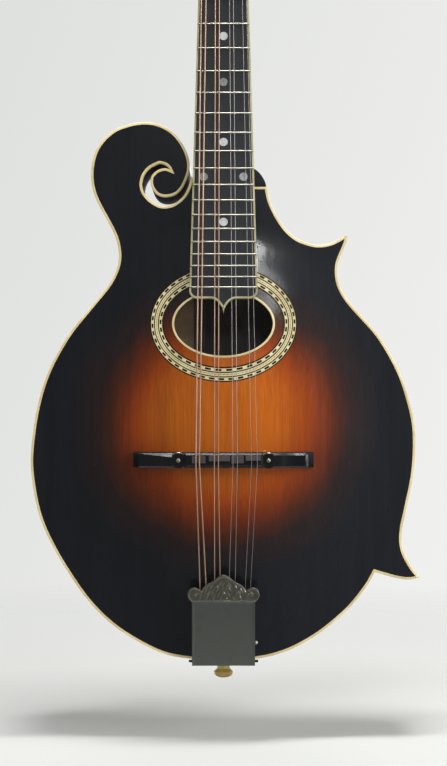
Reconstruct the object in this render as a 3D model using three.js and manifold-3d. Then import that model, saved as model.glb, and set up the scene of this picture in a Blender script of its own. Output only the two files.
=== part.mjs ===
// An f-style mandolin: an arched top with an oval soundhole and an arched back on a bent rim with a
// scroll and two points, a pitched neck with a bound fingerboard, a bridge that is set by two
// thumbwheels, a tailpiece with a sliding cover, and eight strings on geared tuners.
// Millimetres, +Z up the neck. The front faces -Y and +X is the treble side. The origin is the
// centre of the end pin's outer face.
import * as THREE from 'three';
import { mergeVertices } from 'three/addons/utils/BufferGeometryUtils.js';
import Module from 'manifold-3d';

const wasm = await Module();
wasm.setup();

// Fits
const clearance = 0.3; // between a piece and what it rests on or fits into
const overrun = 3; // how far a cutter runs past what it cuts
const weld = 0.001; // points closer than this are one point

// Body
const bodyWidth = 245.6;
const bodyLength = 344.5; // tail to the top of the scroll
const tailHeight = 14.2; // from the end pin's outer face up to the rim
const rimDepth = 41;
const rimWall = 2.2;
const plateEdge = 4; // thickness of the top and back at their edge
const plateSwell = 1; // how much thicker they are in the middle
const bindingWidth = 1.7;
const liningWidth = 5;
const liningDepth = 8;
const liningCut = 10; // how far from a point's tip the linings stay
const archWidth = 232; // the carved arch is an oval dome inside the edge
const archLength = 280;
const archMargin = 4; // from the tail to the start of the arch
const topArch = 12;
const backArch = 11;
const archPowerShare = 1.25; // above 1 the arch is full in the middle and falls late

// Soundhole, all half sizes across and along the body
const holeCentre = 229.7;
const holeHalf = { across: 32.8, along: 21.9 };
const holeBinding = 1.65;
const rosetteInner = { across: 38.3, along: 27.6 };
const rosetteOuter = { across: 46.8, along: 37.2 };
const rosetteDepth = 1.2;

// Inside the body
const blockFloor = 292; // lowest height of the head and scroll block
const tailBlock = { halfWidth: 26, height: 20 };
const brace = { length: 176, thickness: 8, depth: 11, height: 186 };

// Neck
const scaleLength = 352.4;
const saddleHeight = 141.4; // where the strings leave the bridge
const boardAtSaddle = -49.1; // the fingerboard's plane, followed down to the saddle
const neckPitch = THREE.MathUtils.degToRad(4);
const boardThickness = 5;
const boardWidthAtNut = 29.1;
const boardFlareShare = 0.057; // growth in width for each millimetre along the board
const boardCorner = 5.3;
const boardEnd = 6.9; // from the last fret to the board's square end
const boardTip = { halfWidth: 7.9, length: 10 };
const boardBinding = 1.35;
const neckInset = 0.2; // the neck is this much narrower than the board, each side
const fretCount = 20;
const fret = { width: 1.5, height: 1, sink: 0.25 };
const nut = { length: 4.4, lift: 1.2 };
const jointShare = 0.88; // height of the neck joint on the body
const tenon = { narrow: 8, wide: 11, length: 15, reach: 14 };
const riser = { halfWidth: 18.5, end: 254 };
const cheek = { reach: 27.4, rise: 12, start: 17, back: 18 };
// Depth of the neck below the board, at heights above the body joint
const neckDepths = [[0, 55], [5, 48], [12, 38], [22, 27], [34, 20], [50, 16.8], [80, 15.4], [125, 14]];
const neckDepthAtNut = 12.8;
const neckRoundShare = 0.85; // below 1 the neck's back is fuller than an ellipse
const volute = { length: 8, drop: 2.2 };

// Headstock, in its own frame: x across, y back, z up from the nut
const headPitch = THREE.MathUtils.degToRad(14);
const headWidth = 66;
const headLength = 165;
const headStart = 1.2; // from the nut's frame to the wood
const headThickness = 13.2;
const veneer = { front: 3, thickness: 1.5 };

// Tuners
const tunerCount = 4; // on each side
const tunerPitch = 23;
const firstTuner = 30;
const tunerOffset = 19; // from the middle of the headstock
const gearTeeth = 14;
const gearModule = 0.6;
const gearWidth = 2.4;
const gearTooth = { root: 3.4, tip: 4.8, rootHalf: 0.52, tipHalf: 0.26 };
const gearPlane = 22.2; // the middle of the gears, behind the headstock
const post = { radius: 3, front: -11 };
const wormDistance = 6; // from the post's axis to the worm's
const worm = { core: 0.95, tip: 2.3, rootHalf: 0.42, tipHalf: 0.16, turns: 2 };
const wormShaft = { inner: 5.2, outer: 17 };
const button = { radius: 6.4, length: 12, flatShare: 0.62 };
const plate = { inner: 12.6, outer: 25, thickness: 1.2, margin: 9 };
const ear = { offset: 4, thickness: 1.4, half: 1.8, top: 2.1 };
// The button's profile as shares of its radius and length, outwards
const buttonShares = [[0, 0], [0.35, 0], [0.85, 0.3], [1, 0.62], [0.75, 0.95], [0, 1]];

// Bridge
const bridgeHeight = 143.4; // middle of the bridge along the body
const bridgeBase = { halfLength: 57, depth: 9.7, end: -36.8, shoulder: -41.4, top: -43.2 };
const bridgePosts = 28.2; // from the middle to each post
const bridgePost = { radius: 1.6, foot: -40, top: -50.8 };
const thumbwheel = { radius: 5, back: -45.4, thickness: 1.8 };
const saddle = { halfLength: 53, back: -47.5, top: -52.5, shoulder: -50, end: -49, ridge: 0.8, blade: 26 };

// Tailpiece and end pin
const tailTilt = THREE.MathUtils.degToRad(4.5);
const tailBase = { halfWidth: 18.6, thickness: 1, front: -26.4, top: 60, wall: 9.35, wallTop: 52, tabEnd: 9,
  tabGap: 0.5 };
const hook = { width: 1.2, length: 2, height: 4, at: 34 };
const cover = { foot: 13, front: -37, thickness: 1, lip: 1, halfWidth: 19.9, depth: 8, height: 58.3 };
const pin = { head: 6.2, end: 3.2, ridge: 3.8, headLength: 7.5, neck: 3.9, stem: 3.2, length: 34 };
const pinHole = 4.3;

// Strings, from the bass side
const stringRadii = [0.5, 0.5, 0.33, 0.33, 0.2, 0.2, 0.15, 0.15];
const stringsAtNut = [-13.5, -10.4, -5.1, -2.5, 3.4, 5.8, 10.9, 13.4];
const stringsAtSaddle = [-17.2, -15, -5.7, -3.2, 5.9, 8.7, 17.5, 21.1];
const stringsAtTail = [-13.9, -9.4, -5.5, -1.6, 2.6, 6.8, 12.4, 15.6];
const stringLift = { nut: 1.5, saddle: 3.7, hook: 31.5, post: -4 };
const stringSides = 5;

// The body's edge as shares of its width and length, clockwise from the treble side of the neck
const outlineShares = {
  shoulder: [[0.113, 0.88], [0.12, 0.856], [0.135, 0.831], [0.157, 0.806], [0.184, 0.787],
    [0.216, 0.776], [0.25, 0.772], [0.285, 0.777], [0.323, 0.792]],
  trebleSide: [[0.323, 0.792], [0.32, 0.778], [0.307, 0.757], [0.299, 0.74], [0.296, 0.724],
    [0.3, 0.701], [0.311, 0.683], [0.328, 0.665], [0.364, 0.637], [0.399, 0.608], [0.428, 0.577],
    [0.46, 0.533], [0.483, 0.484], [0.497, 0.438], [0.499, 0.391], [0.494, 0.345], [0.482, 0.299],
    [0.469, 0.261], [0.464, 0.235], [0.465, 0.213], [0.474, 0.194], [0.489, 0.175], [0.511, 0.155]],
  lowerPoint: [[0.511, 0.155], [0.486, 0.151], [0.456, 0.153], [0.423, 0.159], [0.394, 0.165]],
  tailAndScroll: [[0.394, 0.165], [0.377, 0.143], [0.331, 0.101], [0.273, 0.064], [0.222, 0.039],
    [0.163, 0.018], [0.094, 0.005], [0.004, 0], [-0.087, 0.004], [-0.158, 0.014], [-0.225, 0.037],
    [-0.285, 0.065], [-0.344, 0.105], [-0.397, 0.156], [-0.446, 0.215], [-0.482, 0.276],
    [-0.501, 0.354], [-0.498, 0.41], [-0.483, 0.477], [-0.452, 0.544], [-0.398, 0.611],
    [-0.348, 0.655], [-0.298, 0.699], [-0.275, 0.735], [-0.274, 0.766], [-0.286, 0.795],
    [-0.315, 0.833], [-0.337, 0.867], [-0.345, 0.9], [-0.339, 0.934], [-0.322, 0.96],
    [-0.289, 0.983], [-0.251, 0.995], [-0.209, 1], [-0.173, 0.997], [-0.138, 0.985],
    [-0.111, 0.965], [-0.092, 0.937], [-0.088, 0.915], [-0.093, 0.899], [-0.104, 0.881],
    [-0.121, 0.867], [-0.147, 0.861], [-0.172, 0.865], [-0.187, 0.879], [-0.19, 0.894],
    [-0.183, 0.904], [-0.165, 0.91], [-0.147, 0.911], [-0.136, 0.908], [-0.134, 0.911],
    [-0.14, 0.916], [-0.156, 0.922], [-0.174, 0.921], [-0.192, 0.914], [-0.206, 0.902],
    [-0.212, 0.887], [-0.208, 0.871], [-0.193, 0.857], [-0.172, 0.847], [-0.151, 0.844],
    [-0.127, 0.849], [-0.105, 0.862], [-0.091, 0.88], [-0.084, 0.9]],
  neckCorner: [[-0.057, 0.88]],
};
const outlineSteps = 2; // points for each span of the outline
const facet = 0.32; // points nearer than this to the line between their neighbours are left out

// The headstock's edge as shares of its width and length, up the treble side and down the bass side
const headShares = {
  trebleSide: [[0.225, 0], [0.29, 0.09], [0.365, 0.17], [0.395, 0.3], [0.41, 0.5], [0.43, 0.66],
    [0.5, 0.74]],
  trebleHollow: [[0.5, 0.74], [0.42, 0.78], [0.385, 0.84], [0.41, 0.9], [0.49, 0.955]],
  crest: [[0.49, 0.955], [0.36, 0.975], [0.22, 0.945], [0.08, 0.925], [-0.03, 0.95], [-0.15, 0.99],
    [-0.28, 0.995], [-0.4, 0.955], [-0.46, 0.88], [-0.44, 0.8], [-0.36, 0.745]],
  bassSide: [[-0.36, 0.745], [-0.41, 0.66], [-0.405, 0.5], [-0.395, 0.3], [-0.365, 0.17],
    [-0.29, 0.09], [-0.225, 0]],
};

// The tailpiece cover's crown as shares of its half width and height, treble side
const crownShares = {
  ear: [[1, 0.7], [1.09, 0.73], [1.14, 0.785], [1.07, 0.84], [0.93, 0.86], [0.8, 0.845], [0.715, 0.82]],
  arch: [[0.715, 0.82], [0.6, 0.875], [0.34, 0.928], [0.17, 0.975], [0, 1]],
};

const paint = {
  top: { color: 0x8c3a12, roughness: 0.35 },
  back: { color: 0x3a1a10, roughness: 0.35 },
  side: { color: 0x1c1210, roughness: 0.35 },
  block: { color: 0x8a6a48, roughness: 0.8 },
  spruce: { color: 0xc9a878, roughness: 0.8 },
  ivoroid: { color: 0xd8c48c, roughness: 0.45 },
  inlay: { color: 0xc8b890, roughness: 0.45 },
  neck: { color: 0x2c1610, roughness: 0.35 },
  ebony: { color: 0x141416, roughness: 0.45 },
  bone: { color: 0xe6dfc8, roughness: 0.5 },
  nickel: { color: 0x9a968a, roughness: 0.35, metalness: 1 },
  brass: { color: 0xb08a4a, roughness: 0.35, metalness: 1 },
  bronze: { color: 0xb47850, roughness: 0.35, metalness: 1 },
  steel: { color: 0xb8bcc0, roughness: 0.25, metalness: 1 },
};

const vec = (x, y, z) => new THREE.Vector3(x, y, z);
const flat = (x, y) => new THREE.Vector2(x, y);

// Helpers that make solids

// A closed surface as a solid for cutting and joining.
function solid(geometry) {
  const loose = geometry.index ? geometry.toNonIndexed() : geometry;
  const bare = new THREE.BufferGeometry().setAttribute('position', loose.getAttribute('position'));
  const merged = mergeVertices(bare, weld);
  const vertProperties = merged.getAttribute('position').array;
  const corners = merged.index.array;
  const kept = [];
  for (let i = 0; i < corners.length; i += 3) {
    const [a, b, c] = corners.slice(i, i + 3);
    if (a !== b && b !== c && c !== a) kept.push(a, b, c); // triangles at a lathe's poles have no area
  }
  const mesh = new wasm.Mesh({ numProp: 3, vertProperties, triVerts: new Uint32Array(kept) });
  mesh.merge(); // closes seams whose points fell on either side of the weld's grid
  return new wasm.Manifold(mesh);
}

// The surface of a solid.
function surface(made) {
  const mesh = made.getMesh();
  const geometry = new THREE.BufferGeometry();
  geometry.setAttribute('position', new THREE.BufferAttribute(mesh.vertProperties, mesh.numProp));
  geometry.setIndex(new THREE.BufferAttribute(mesh.triVerts, 1));
  return geometry;
}

const join = (...parts) => parts.reduce((sum, part) => sum.add(part));

// A solid skinned over sections with equal numbers of points. An open one has flat ends.
function skin(sections, closed = false) {
  const count = sections[0].length;
  const spans = closed ? sections.length : sections.length - 1;
  const index = [];
  for (let i = 0; i < spans; i++) {
    const here = i * count;
    const there = ((i + 1) % sections.length) * count;
    for (let j = 0; j < count; j++) {
      const k = (j + 1) % count;
      index.push(here + j, here + k, there + k, here + j, there + k, there + j);
    }
  }
  if (!closed) {
    const end = spans * count;
    for (let j = 1; j < count - 1; j++) index.push(0, j + 1, j, end, end + j, end + j + 1);
  }
  const points = sections.flat();
  const geometry = new THREE.BufferGeometry().setFromPoints(points).setIndex(index);
  let volume = 0;
  for (let i = 0; i < index.length; i += 3) {
    const [a, b, c] = [0, 1, 2].map((k) => points[index[i + k]]);
    volume += a.dot(b.clone().cross(c));
  }
  if (volume < 0) geometry.setIndex(index.reverse());
  return geometry;
}

// An outline in x and z, from one y to another. Holes run the other way round.
function prism(points, front, back, holes = []) {
  const shape = new THREE.Shape(points);
  const clockwise = THREE.ShapeUtils.isClockWise(points);
  const against = (hole) => (THREE.ShapeUtils.isClockWise(hole) === clockwise ? [...hole].reverse() : hole);
  shape.holes = holes.map((hole) => new THREE.Path(against(hole)));
  const geometry = new THREE.ExtrudeGeometry(shape, { depth: back - front, bevelEnabled: false });
  return geometry.rotateX(Math.PI / 2).translate(0, back, 0);
}

// A side profile in y and z, as wide as given and centred on x.
function sideways(points, width, x = 0) {
  const geometry = new THREE.ExtrudeGeometry(new THREE.Shape(points), { depth: width, bevelEnabled: false });
  const turn = new THREE.Matrix4().makeBasis(vec(0, 1, 0), vec(0, 0, 1), vec(1, 0, 0));
  return geometry.applyMatrix4(turn).translate(x - width / 2, 0, 0);
}

// A block between two corners.
function block(low, high) {
  const size = high.clone().sub(low);
  const middle = low.clone().add(high).divideScalar(2);
  return new THREE.BoxGeometry(...size.toArray()).translate(...middle.toArray());
}

// A round bar along y.
function bar(radius, front, back, sides, x = 0, z = 0) {
  const geometry = new THREE.CylinderGeometry(radius, radius, back - front, sides);
  return geometry.translate(x, (front + back) / 2, z);
}

function ellipse(half, sides, grow = 0) {
  return Array.from({ length: sides }, (_, i) => {
    const angle = (i / sides) * 2 * Math.PI;
    return flat((half.across + grow) * Math.cos(angle), holeCentre + (half.along + grow) * Math.sin(angle));
  });
}

// A closed outline without points that lie on each other.
const spaced = (points) => points.filter((point, i) =>
  point.distanceTo(points[(i + 1) % points.length]) > clearance);

const away = (point, a, b) => {
  const line = new THREE.Line3(vec(a.x, 0, a.y), vec(b.x, 0, b.y));
  const at = vec(point.x, 0, point.y);
  return line.closestPointToPoint(at, true, vec(0, 0, 0)).distanceTo(at);
};

// A closed outline without points that hardly bend it.
function thinned(points, bend = facet) {
  const kept = [points[0]];
  let skipped = [];
  for (let i = 1; i < points.length; i++) {
    const next = points[(i + 1) % points.length];
    skipped.push(points[i]);
    if (skipped.every((point) => away(point, kept.at(-1), next) < bend)) continue;
    kept.push(points[i]);
    skipped = [];
  }
  return kept;
}

// Smooth sections through share points, joined at corners.
function tracedOutline(sections, place, steps) {
  const points = Object.values(sections).flatMap((shares) => {
    const places = shares.map(place);
    if (places.length === 1) return places;
    return new THREE.SplineCurve(places).getPoints(steps * (shares.length - 1));
  });
  return thinned(spaced(points));
}

// A clockwise outline moved inwards. Sharp outer corners stay sharp, inner ones turn round the
// corner, and moved points that come too near the outline are left out.
function inset(outline, distance) {
  const count = outline.length;
  const roundStep = Math.PI / 4;
  const nearShare = 0.995;
  const moved = outline.flatMap((point, i) => {
    const before = point.clone().sub(outline[(i + count - 1) % count]).angle();
    const after = outline[(i + 1) % count].clone().sub(point).angle();
    const turn = THREE.MathUtils.euclideanModulo(after - before + Math.PI, 2 * Math.PI) - Math.PI;
    const step = (angle, length) => {
      const inward = angle - Math.PI / 2;
      return flat(point.x + length * Math.cos(inward), point.y + length * Math.sin(inward));
    };
    if (turn <= roundStep) return [step(before + turn / 2, distance / Math.cos(turn / 2))];
    const parts = Math.ceil(turn / roundStep);
    return Array.from({ length: parts + 1 }, (_, k) => step(before + (turn * k) / parts, distance));
  });
  const nearest = (point) => Math.min(...outline.map((a, i) => away(point, a, outline[(i + 1) % count])));
  return spaced(moved.filter((point) => nearest(point) > nearShare * distance));
}

// The carved arch

const archCentre = tailHeight + archMargin + archLength / 2;
const plateBack = rimDepth / 2 + clearance; // where a plate starts, from the rim's middle
const plateFront = plateBack + plateEdge;

const archShape = (share) => Math.cos((Math.PI / 2) * Math.min(share, 1) ** archPowerShare) ** 2;

// The top's outer surface over a point of the body.
function topSurface(x, z) {
  const share = Math.hypot((2 * x) / archWidth, (2 * (z - archCentre)) / archLength);
  return -(plateFront + topArch * archShape(share));
}

// The space below an arch, from a floor up. Levels count outwards from the rim's middle.
function dome(arch, level, floor, reachShare, front) {
  const rings = 6;
  const sectors = 28;
  const profile = [flat(0, floor), flat(reachShare, floor), flat(reachShare, level)];
  const first = reachShare > 1 ? 0 : 1;
  for (let i = first; i <= rings; i++) {
    const share = 1 - i / rings;
    profile.push(flat(share, level + arch * archShape(share)));
  }
  const geometry = new THREE.LatheGeometry(profile, sectors).scale(archWidth / 2, 1, archLength / 2);
  if (front) geometry.rotateX(Math.PI);
  return geometry.translate(0, 0, archCentre);
}

const skirtShare = 2; // the arch's flat surround, past the edge of the body

// A ring let into the top that follows its arch. Heights count down from the top's surface.
function ringOnTop(outer, inner, above, below, grow = 0) {
  const sides = 34;
  const outside = ellipse(outer, sides, grow);
  const inside = ellipse(inner, sides, -grow);
  const sections = outside.map((out, i) => {
    const into = inside[i];
    const outTop = topSurface(out.x, out.y);
    const inTop = topSurface(into.x, into.y);
    return [vec(out.x, outTop - above, out.y), vec(out.x, outTop + below, out.y),
      vec(into.x, inTop + below, into.y), vec(into.x, inTop - above, into.y)];
  });
  return skin(sections, true);
}

// Frames of the neck and the headstock

const neckFrame = new THREE.Matrix4().makeRotationX(-neckPitch).setPosition(0, boardAtSaddle, saddleHeight);
const headOffset = scaleLength + nut.length + 2 * clearance;
const headFrame = neckFrame.clone()
  .multiply(new THREE.Matrix4().makeTranslation(0, 0, headOffset))
  .multiply(new THREE.Matrix4().makeRotationX(-headPitch));

const part = new THREE.Group();
const neckGroup = new THREE.Group();
neckGroup.rotation.x = -neckPitch;
neckGroup.position.set(0, boardAtSaddle, saddleHeight);
const headGroup = new THREE.Group();
headGroup.rotation.x = -headPitch;
headGroup.position.z = headOffset;
neckGroup.add(headGroup);
part.add(neckGroup);

function place(parent, name, shape, finish) {
  const geometry = shape.isBufferGeometry ? shape : surface(shape);
  const mesh = new THREE.Mesh(geometry, new THREE.MeshStandardMaterial({ ...finish, flatShading: true }));
  mesh.name = name;
  parent.add(mesh);
  return mesh;
}

// The body

const bodyPoint = ([across, along]) => flat(across * bodyWidth, tailHeight + along * bodyLength);
const outline = tracedOutline(outlineShares, bodyPoint, outlineSteps);
const neckJoint = tailHeight + jointShare * bodyLength;
const plateOutline = inset(outline, bindingWidth + clearance);
const rimInner = inset(outline, rimWall);
const insideRim = inset(outline, rimWall + clearance);
// The linings run below the head block and cut across the two points
const tips = [outlineShares.trebleSide[0], outlineShares.lowerPoint[0]].map(bodyPoint);
const bout = outline.filter((point) => point.y < neckJoint - tenon.length
  && tips.every((tip) => tip.distanceTo(point) > liningCut));
const liningOuter = inset(bout, rimWall + 2 * clearance);
const liningInner = thinned(inset(bout, rimWall + 2 * clearance + liningWidth), 2 * facet);

function tenonShape(grow) {
  const deep = neckJoint - tenon.length - grow;
  const mouth = neckJoint + overrun;
  return [flat(-tenon.wide - grow, deep), flat(tenon.wide + grow, deep),
    flat(tenon.narrow + grow, mouth), flat(-tenon.narrow - grow, mouth)];
}

function body() {
  const front = -plateFront;
  const rimFront = -rimDepth / 2;
  const mortise = solid(prism(tenonShape(clearance), rimFront - overrun, tenon.reach + clearance));
  const pinBore = solid(bar(pinHole, -bodyLength, pin.length + 2 * clearance, 16).rotateX(Math.PI / 2));

  const topHole = ellipse(holeHalf, 34, clearance);
  const top = solid(dome(topArch, plateFront, plateBack, skirtShare, true))
    .intersect(solid(prism(plateOutline, -bodyWidth, -plateBack, [topHole])))
    .subtract(solid(dome(topArch - plateSwell, plateBack, plateBack - overrun, 1, true)))
    .subtract(solid(ringOnTop(rosetteOuter, rosetteInner, overrun, rosetteDepth + clearance, clearance)));
  place(part, 'top_plate', top, paint.top);

  const back = solid(dome(backArch, plateFront, plateBack, skirtShare, false))
    .intersect(solid(prism(plateOutline, plateBack, bodyWidth)))
    .subtract(solid(dome(backArch - plateSwell, plateBack, plateBack - overrun, 1, false)));
  place(part, 'back_plate', back, paint.back);

  const rim = solid(prism(outline, rimFront, -rimFront, [rimInner])).subtract(mortise).subtract(pinBore);
  place(part, 'side_rim', rim, paint.side);
  const bindingInner = inset(outline, bindingWidth);
  place(part, 'top_binding', prism(outline, front, -plateBack, [bindingInner]), paint.ivoroid);
  place(part, 'back_binding', prism(outline, plateBack, -front, [bindingInner]), paint.ivoroid);

  const headRoom = block(vec(-bodyWidth, rimFront, blockFloor),
    vec(bodyWidth, -rimFront, bodyLength * skirtShare));
  const headBlock = solid(prism(insideRim, rimFront, -rimFront)).intersect(solid(headRoom)).subtract(mortise);
  place(part, 'head_block', headBlock, paint.block);

  const blockTop = tailHeight + tailBlock.height;
  const between = rimDepth / 2 - liningDepth - clearance;
  const tailRoom = (half) => solid(block(vec(-tailBlock.halfWidth, -half, 0),
    vec(tailBlock.halfWidth, half, blockTop)));
  const wide = solid(prism(liningOuter, rimFront, -rimFront)).intersect(tailRoom(between));
  const inner = inset(bout, rimWall + liningWidth + 3 * clearance + 2 * facet);
  const deep = solid(prism(inner, rimFront, -rimFront)).intersect(tailRoom(rimDepth / 2));
  place(part, 'tail_block', join(wide, deep).subtract(pinBore), paint.block);

  const belowBlock = block(vec(-bodyWidth, -bodyWidth, 0), vec(bodyWidth, bodyWidth, blockFloor - clearance));
  for (const [name, side] of [['top_lining', -1], ['back_lining', 1]]) {
    const levels = [side * (rimDepth / 2), side * (rimDepth / 2 - liningDepth)].sort((a, b) => a - b);
    const ring = solid(prism(liningOuter, ...levels, [liningInner])).intersect(solid(belowBlock));
    place(part, name, ring, paint.spruce);
  }

  const braceFront = -(plateBack + topArch);
  const braceRoom = block(vec(-brace.length / 2, braceFront, brace.height - brace.thickness / 2),
    vec(brace.length / 2, -plateBack + liningWidth, brace.height + brace.thickness / 2));
  const underTop = dome(topArch - plateSwell, plateBack - clearance, plateBack - brace.depth, 1, true);
  place(part, 'tone_brace', solid(braceRoom).intersect(solid(underTop)), paint.spruce);

  const holeInner = { across: holeHalf.across - holeBinding, along: holeHalf.along - holeBinding };
  const holeDepth = plateEdge + plateSwell;
  place(part, 'soundhole_binding', ringOnTop(holeHalf, holeInner, 0, holeDepth), paint.ivoroid);
  place(part, 'rosette', ringOnTop(rosetteOuter, rosetteInner, 0, rosetteDepth), paint.inlay);
}

// The neck, its fingerboard and the nut

const boardHalf = (along) => (boardWidthAtNut + boardFlareShare * along) / 2;
const alongBoard = (height) => scaleLength - (height - saddleHeight) / Math.cos(neckPitch);
const boardUnder = (height) => boardAtSaddle + (height - saddleHeight) * Math.tan(neckPitch)
  + (boardThickness + clearance) / Math.cos(neckPitch);

function neckSection(height, depth, drop = 0) {
  const sides = 8;
  const half = boardHalf(alongBoard(height)) - neckInset;
  const front = boardUnder(height) + drop;
  return Array.from({ length: sides + 1 }, (_, i) => {
    const angle = (i / sides) * Math.PI;
    return vec(half * Math.cos(angle), front + (depth - drop) * Math.sin(angle) ** neckRoundShare, height);
  });
}

const headOutline = tracedOutline(headShares,
  ([across, up]) => flat(across * headWidth, headStart + up * headLength), outlineSteps);
const headBack = veneer.front + veneer.thickness + clearance + headThickness;
const tunerHeights = Array.from({ length: tunerCount }, (_, i) => firstTuner + i * tunerPitch);
const tunerPlaces = [-1, 1].flatMap((side) => tunerHeights.map((height) => ({ side, height })));
const postHoles = (front, back) => join(...tunerPlaces.map(({ side, height }) =>
  solid(bar(post.radius + clearance, front - overrun, back + overrun, 10, side * tunerOffset, height))));

function neck() {
  const nutTop = saddleHeight + headOffset * Math.cos(neckPitch);
  const shaft = neckDepths.map(([rise, depth]) => neckSection(neckJoint + clearance + rise, depth));
  shaft.push(neckSection(nutTop, neckDepthAtNut));
  shaft.push(neckSection(nutTop + volute.length, neckDepthAtNut, volute.drop));

  const riserRoom = sideways([flat(boardUnder(riser.end), riser.end),
    flat(boardUnder(neckJoint + overrun), neckJoint + overrun), flat(-plateBack, neckJoint + overrun),
    flat(-plateBack, riser.end)], 2 * riser.halfWidth);
  const overTop = dome(topArch, plateFront + clearance, 0, skirtShare, true);
  const riserBlock = solid(riserRoom).subtract(solid(overTop));

  const jointTop = neckJoint + clearance;
  const cheekCurve = new THREE.QuadraticBezierCurve(flat(cheek.start, jointTop + cheek.rise),
    flat(cheek.reach, jointTop + cheek.rise), flat(cheek.reach, jointTop));
  const cheekShape = [flat(0, jointTop), flat(0, jointTop + cheek.rise), ...cheekCurve.getPoints(6)];
  const cheekBlock = solid(prism(cheekShape, -plateFront, cheek.back));

  const tenonBlock = solid(prism(tenonShape(0), -rimDepth / 2, tenon.reach));
  const [corner, shoulder] = [outlineShares.neckCorner[0], outlineShares.tailAndScroll.at(-1)].map(bodyPoint);
  const notch = solid(prism([flat(shoulder.x - overrun, neckJoint - overrun),
    flat(corner.x + clearance, neckJoint - overrun), flat(corner.x + clearance, corner.y + clearance),
    flat(shoulder.x + clearance, shoulder.y + 2 * clearance),
    flat(shoulder.x - overrun, shoulder.y + 2 * clearance)], -plateFront - clearance, bodyWidth));

  const head = solid(prism(headOutline, headBack - headThickness, headBack).applyMatrix4(headFrame));
  const holes = surface(postHoles(headBack - headThickness, headBack)).applyMatrix4(headFrame);
  const whole = join(solid(skin(shaft)), riserBlock, cheekBlock).subtract(notch);
  place(part, 'neck', join(whole, tenonBlock, head).subtract(solid(holes)), paint.neck);

  const face = solid(prism(headOutline, veneer.front, veneer.front + veneer.thickness));
  const faceHoles = postHoles(veneer.front, veneer.front + veneer.thickness);
  place(headGroup, 'headstock_veneer', face.subtract(faceHoles), paint.ebony);
}

const fretPlaces = Array.from({ length: fretCount }, (_, i) => scaleLength * (1 - 2 ** (-(i + 1) / 12)));
const boardLength = fretPlaces.at(-1) + boardEnd;

// The fingerboard's outline, drawn in by a distance at its sides and foot.
function boardOutline(drawn, top) {
  const foot = scaleLength - boardLength + drawn;
  const half = boardHalf(boardLength) - drawn;
  const corner = boardCorner - drawn;
  const tipHalf = boardTip.halfWidth;
  const side = new THREE.Path();
  side.moveTo(boardHalf(scaleLength - top) - drawn, top);
  side.lineTo(half, foot + corner);
  side.absarc(half - corner, foot + corner, corner, 0, -Math.PI / 2, true);
  side.lineTo(tipHalf, foot);
  side.bezierCurveTo(tipHalf / 2, foot, drawn / 2, foot - boardTip.length / 2,
    0, foot - boardTip.length + drawn);
  const treble = side.getPoints(5);
  const bass = treble.slice(0, -1).reverse().map((point) => flat(-point.x, point.y));
  return [...treble, ...bass];
}

function fingerboard() {
  const top = scaleLength - clearance;
  const sunk = fret.sink + clearance;
  const board = prism(boardOutline(boardBinding + clearance, top), sunk, boardThickness);
  place(neckGroup, 'fingerboard', board, paint.ebony);
  const ring = prism(boardOutline(0, top), 0, boardThickness);
  const inside = prism(boardOutline(boardBinding, top + overrun), -overrun, boardThickness + overrun);
  const bars = fretPlaces.map((along) => {
    const half = boardHalf(along) - clearance / 2;
    const middle = scaleLength - along;
    return solid(block(vec(-half, -fret.height, middle - fret.width / 2),
      vec(half, fret.sink, middle + fret.width / 2)));
  });
  const bound = join(solid(ring).subtract(solid(inside)), ...bars);
  place(neckGroup, 'fingerboard_binding_and_frets', bound, paint.ivoroid);

  const nutHalf = boardWidthAtNut / 2;
  place(neckGroup, 'nut', block(vec(-nutHalf, -nut.lift, scaleLength),
    vec(nutHalf, boardThickness, scaleLength + nut.length)), paint.bone);
}

// The tuners

const gearPitch = (gearModule * gearTeeth) / 2;
const wormLead = Math.PI * gearModule;

// Gear teeth lean so that they follow the worm's thread. A gap faces the worm, up the headstock.
function gear() {
  const teeth = Array.from({ length: gearTeeth }, (_, i) => {
    const middle = Math.PI / 2 + ((i + 0.5) / gearTeeth) * 2 * Math.PI;
    const at = (radius, along) => {
      const angle = middle + along / radius;
      return flat(radius * Math.cos(angle), radius * Math.sin(angle));
    };
    return [at(gearTooth.root, -gearTooth.rootHalf), at(gearTooth.tip, -gearTooth.tipHalf),
      at(gearTooth.tip, gearTooth.tipHalf), at(gearTooth.root, gearTooth.rootHalf)];
  });
  const geometry = prism(teeth.flat(), gearPlane - gearWidth / 2, gearPlane + gearWidth / 2);
  const lean = wormLead / (2 * Math.PI * (wormDistance - gearPitch)) / gearPitch;
  const position = geometry.getAttribute('position');
  for (let i = 0; i < position.count; i++) {
    const point = vec(0, 0, 0).fromBufferAttribute(position, i);
    point.applyAxisAngle(vec(0, 1, 0), lean * (point.y - gearPlane));
    position.setXYZ(i, ...point.toArray());
  }
  return geometry;
}

// A worm on its shaft along x, centred on the post it drives. The shaft runs out to one side.
function wormOnShaft(side) {
  const stepsPerTurn = 7;
  const steps = Math.round(worm.turns * stepsPerTurn);
  const inner = worm.core - clearance;
  const thread = Array.from({ length: steps + 1 }, (_, i) => {
    const turned = (i - steps / 2) / stepsPerTurn;
    const angle = turned * 2 * Math.PI - Math.PI / 2;
    const middle = turned * wormLead;
    const at = (radius, along) => vec(middle + along, radius * Math.cos(angle), radius * Math.sin(angle));
    return [at(inner, -worm.rootHalf), at(worm.tip, -worm.tipHalf),
      at(worm.tip, worm.tipHalf), at(inner, worm.rootHalf)];
  });
  const ends = [-side * wormShaft.inner, side * wormShaft.outer].sort((a, b) => a - b);
  const core = new THREE.CylinderGeometry(worm.core, worm.core, ends[1] - ends[0], 6).rotateZ(Math.PI / 2);
  core.translate((ends[0] + ends[1]) / 2, 0, 0);
  return join(solid(core), solid(skin(thread)));
}

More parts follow.
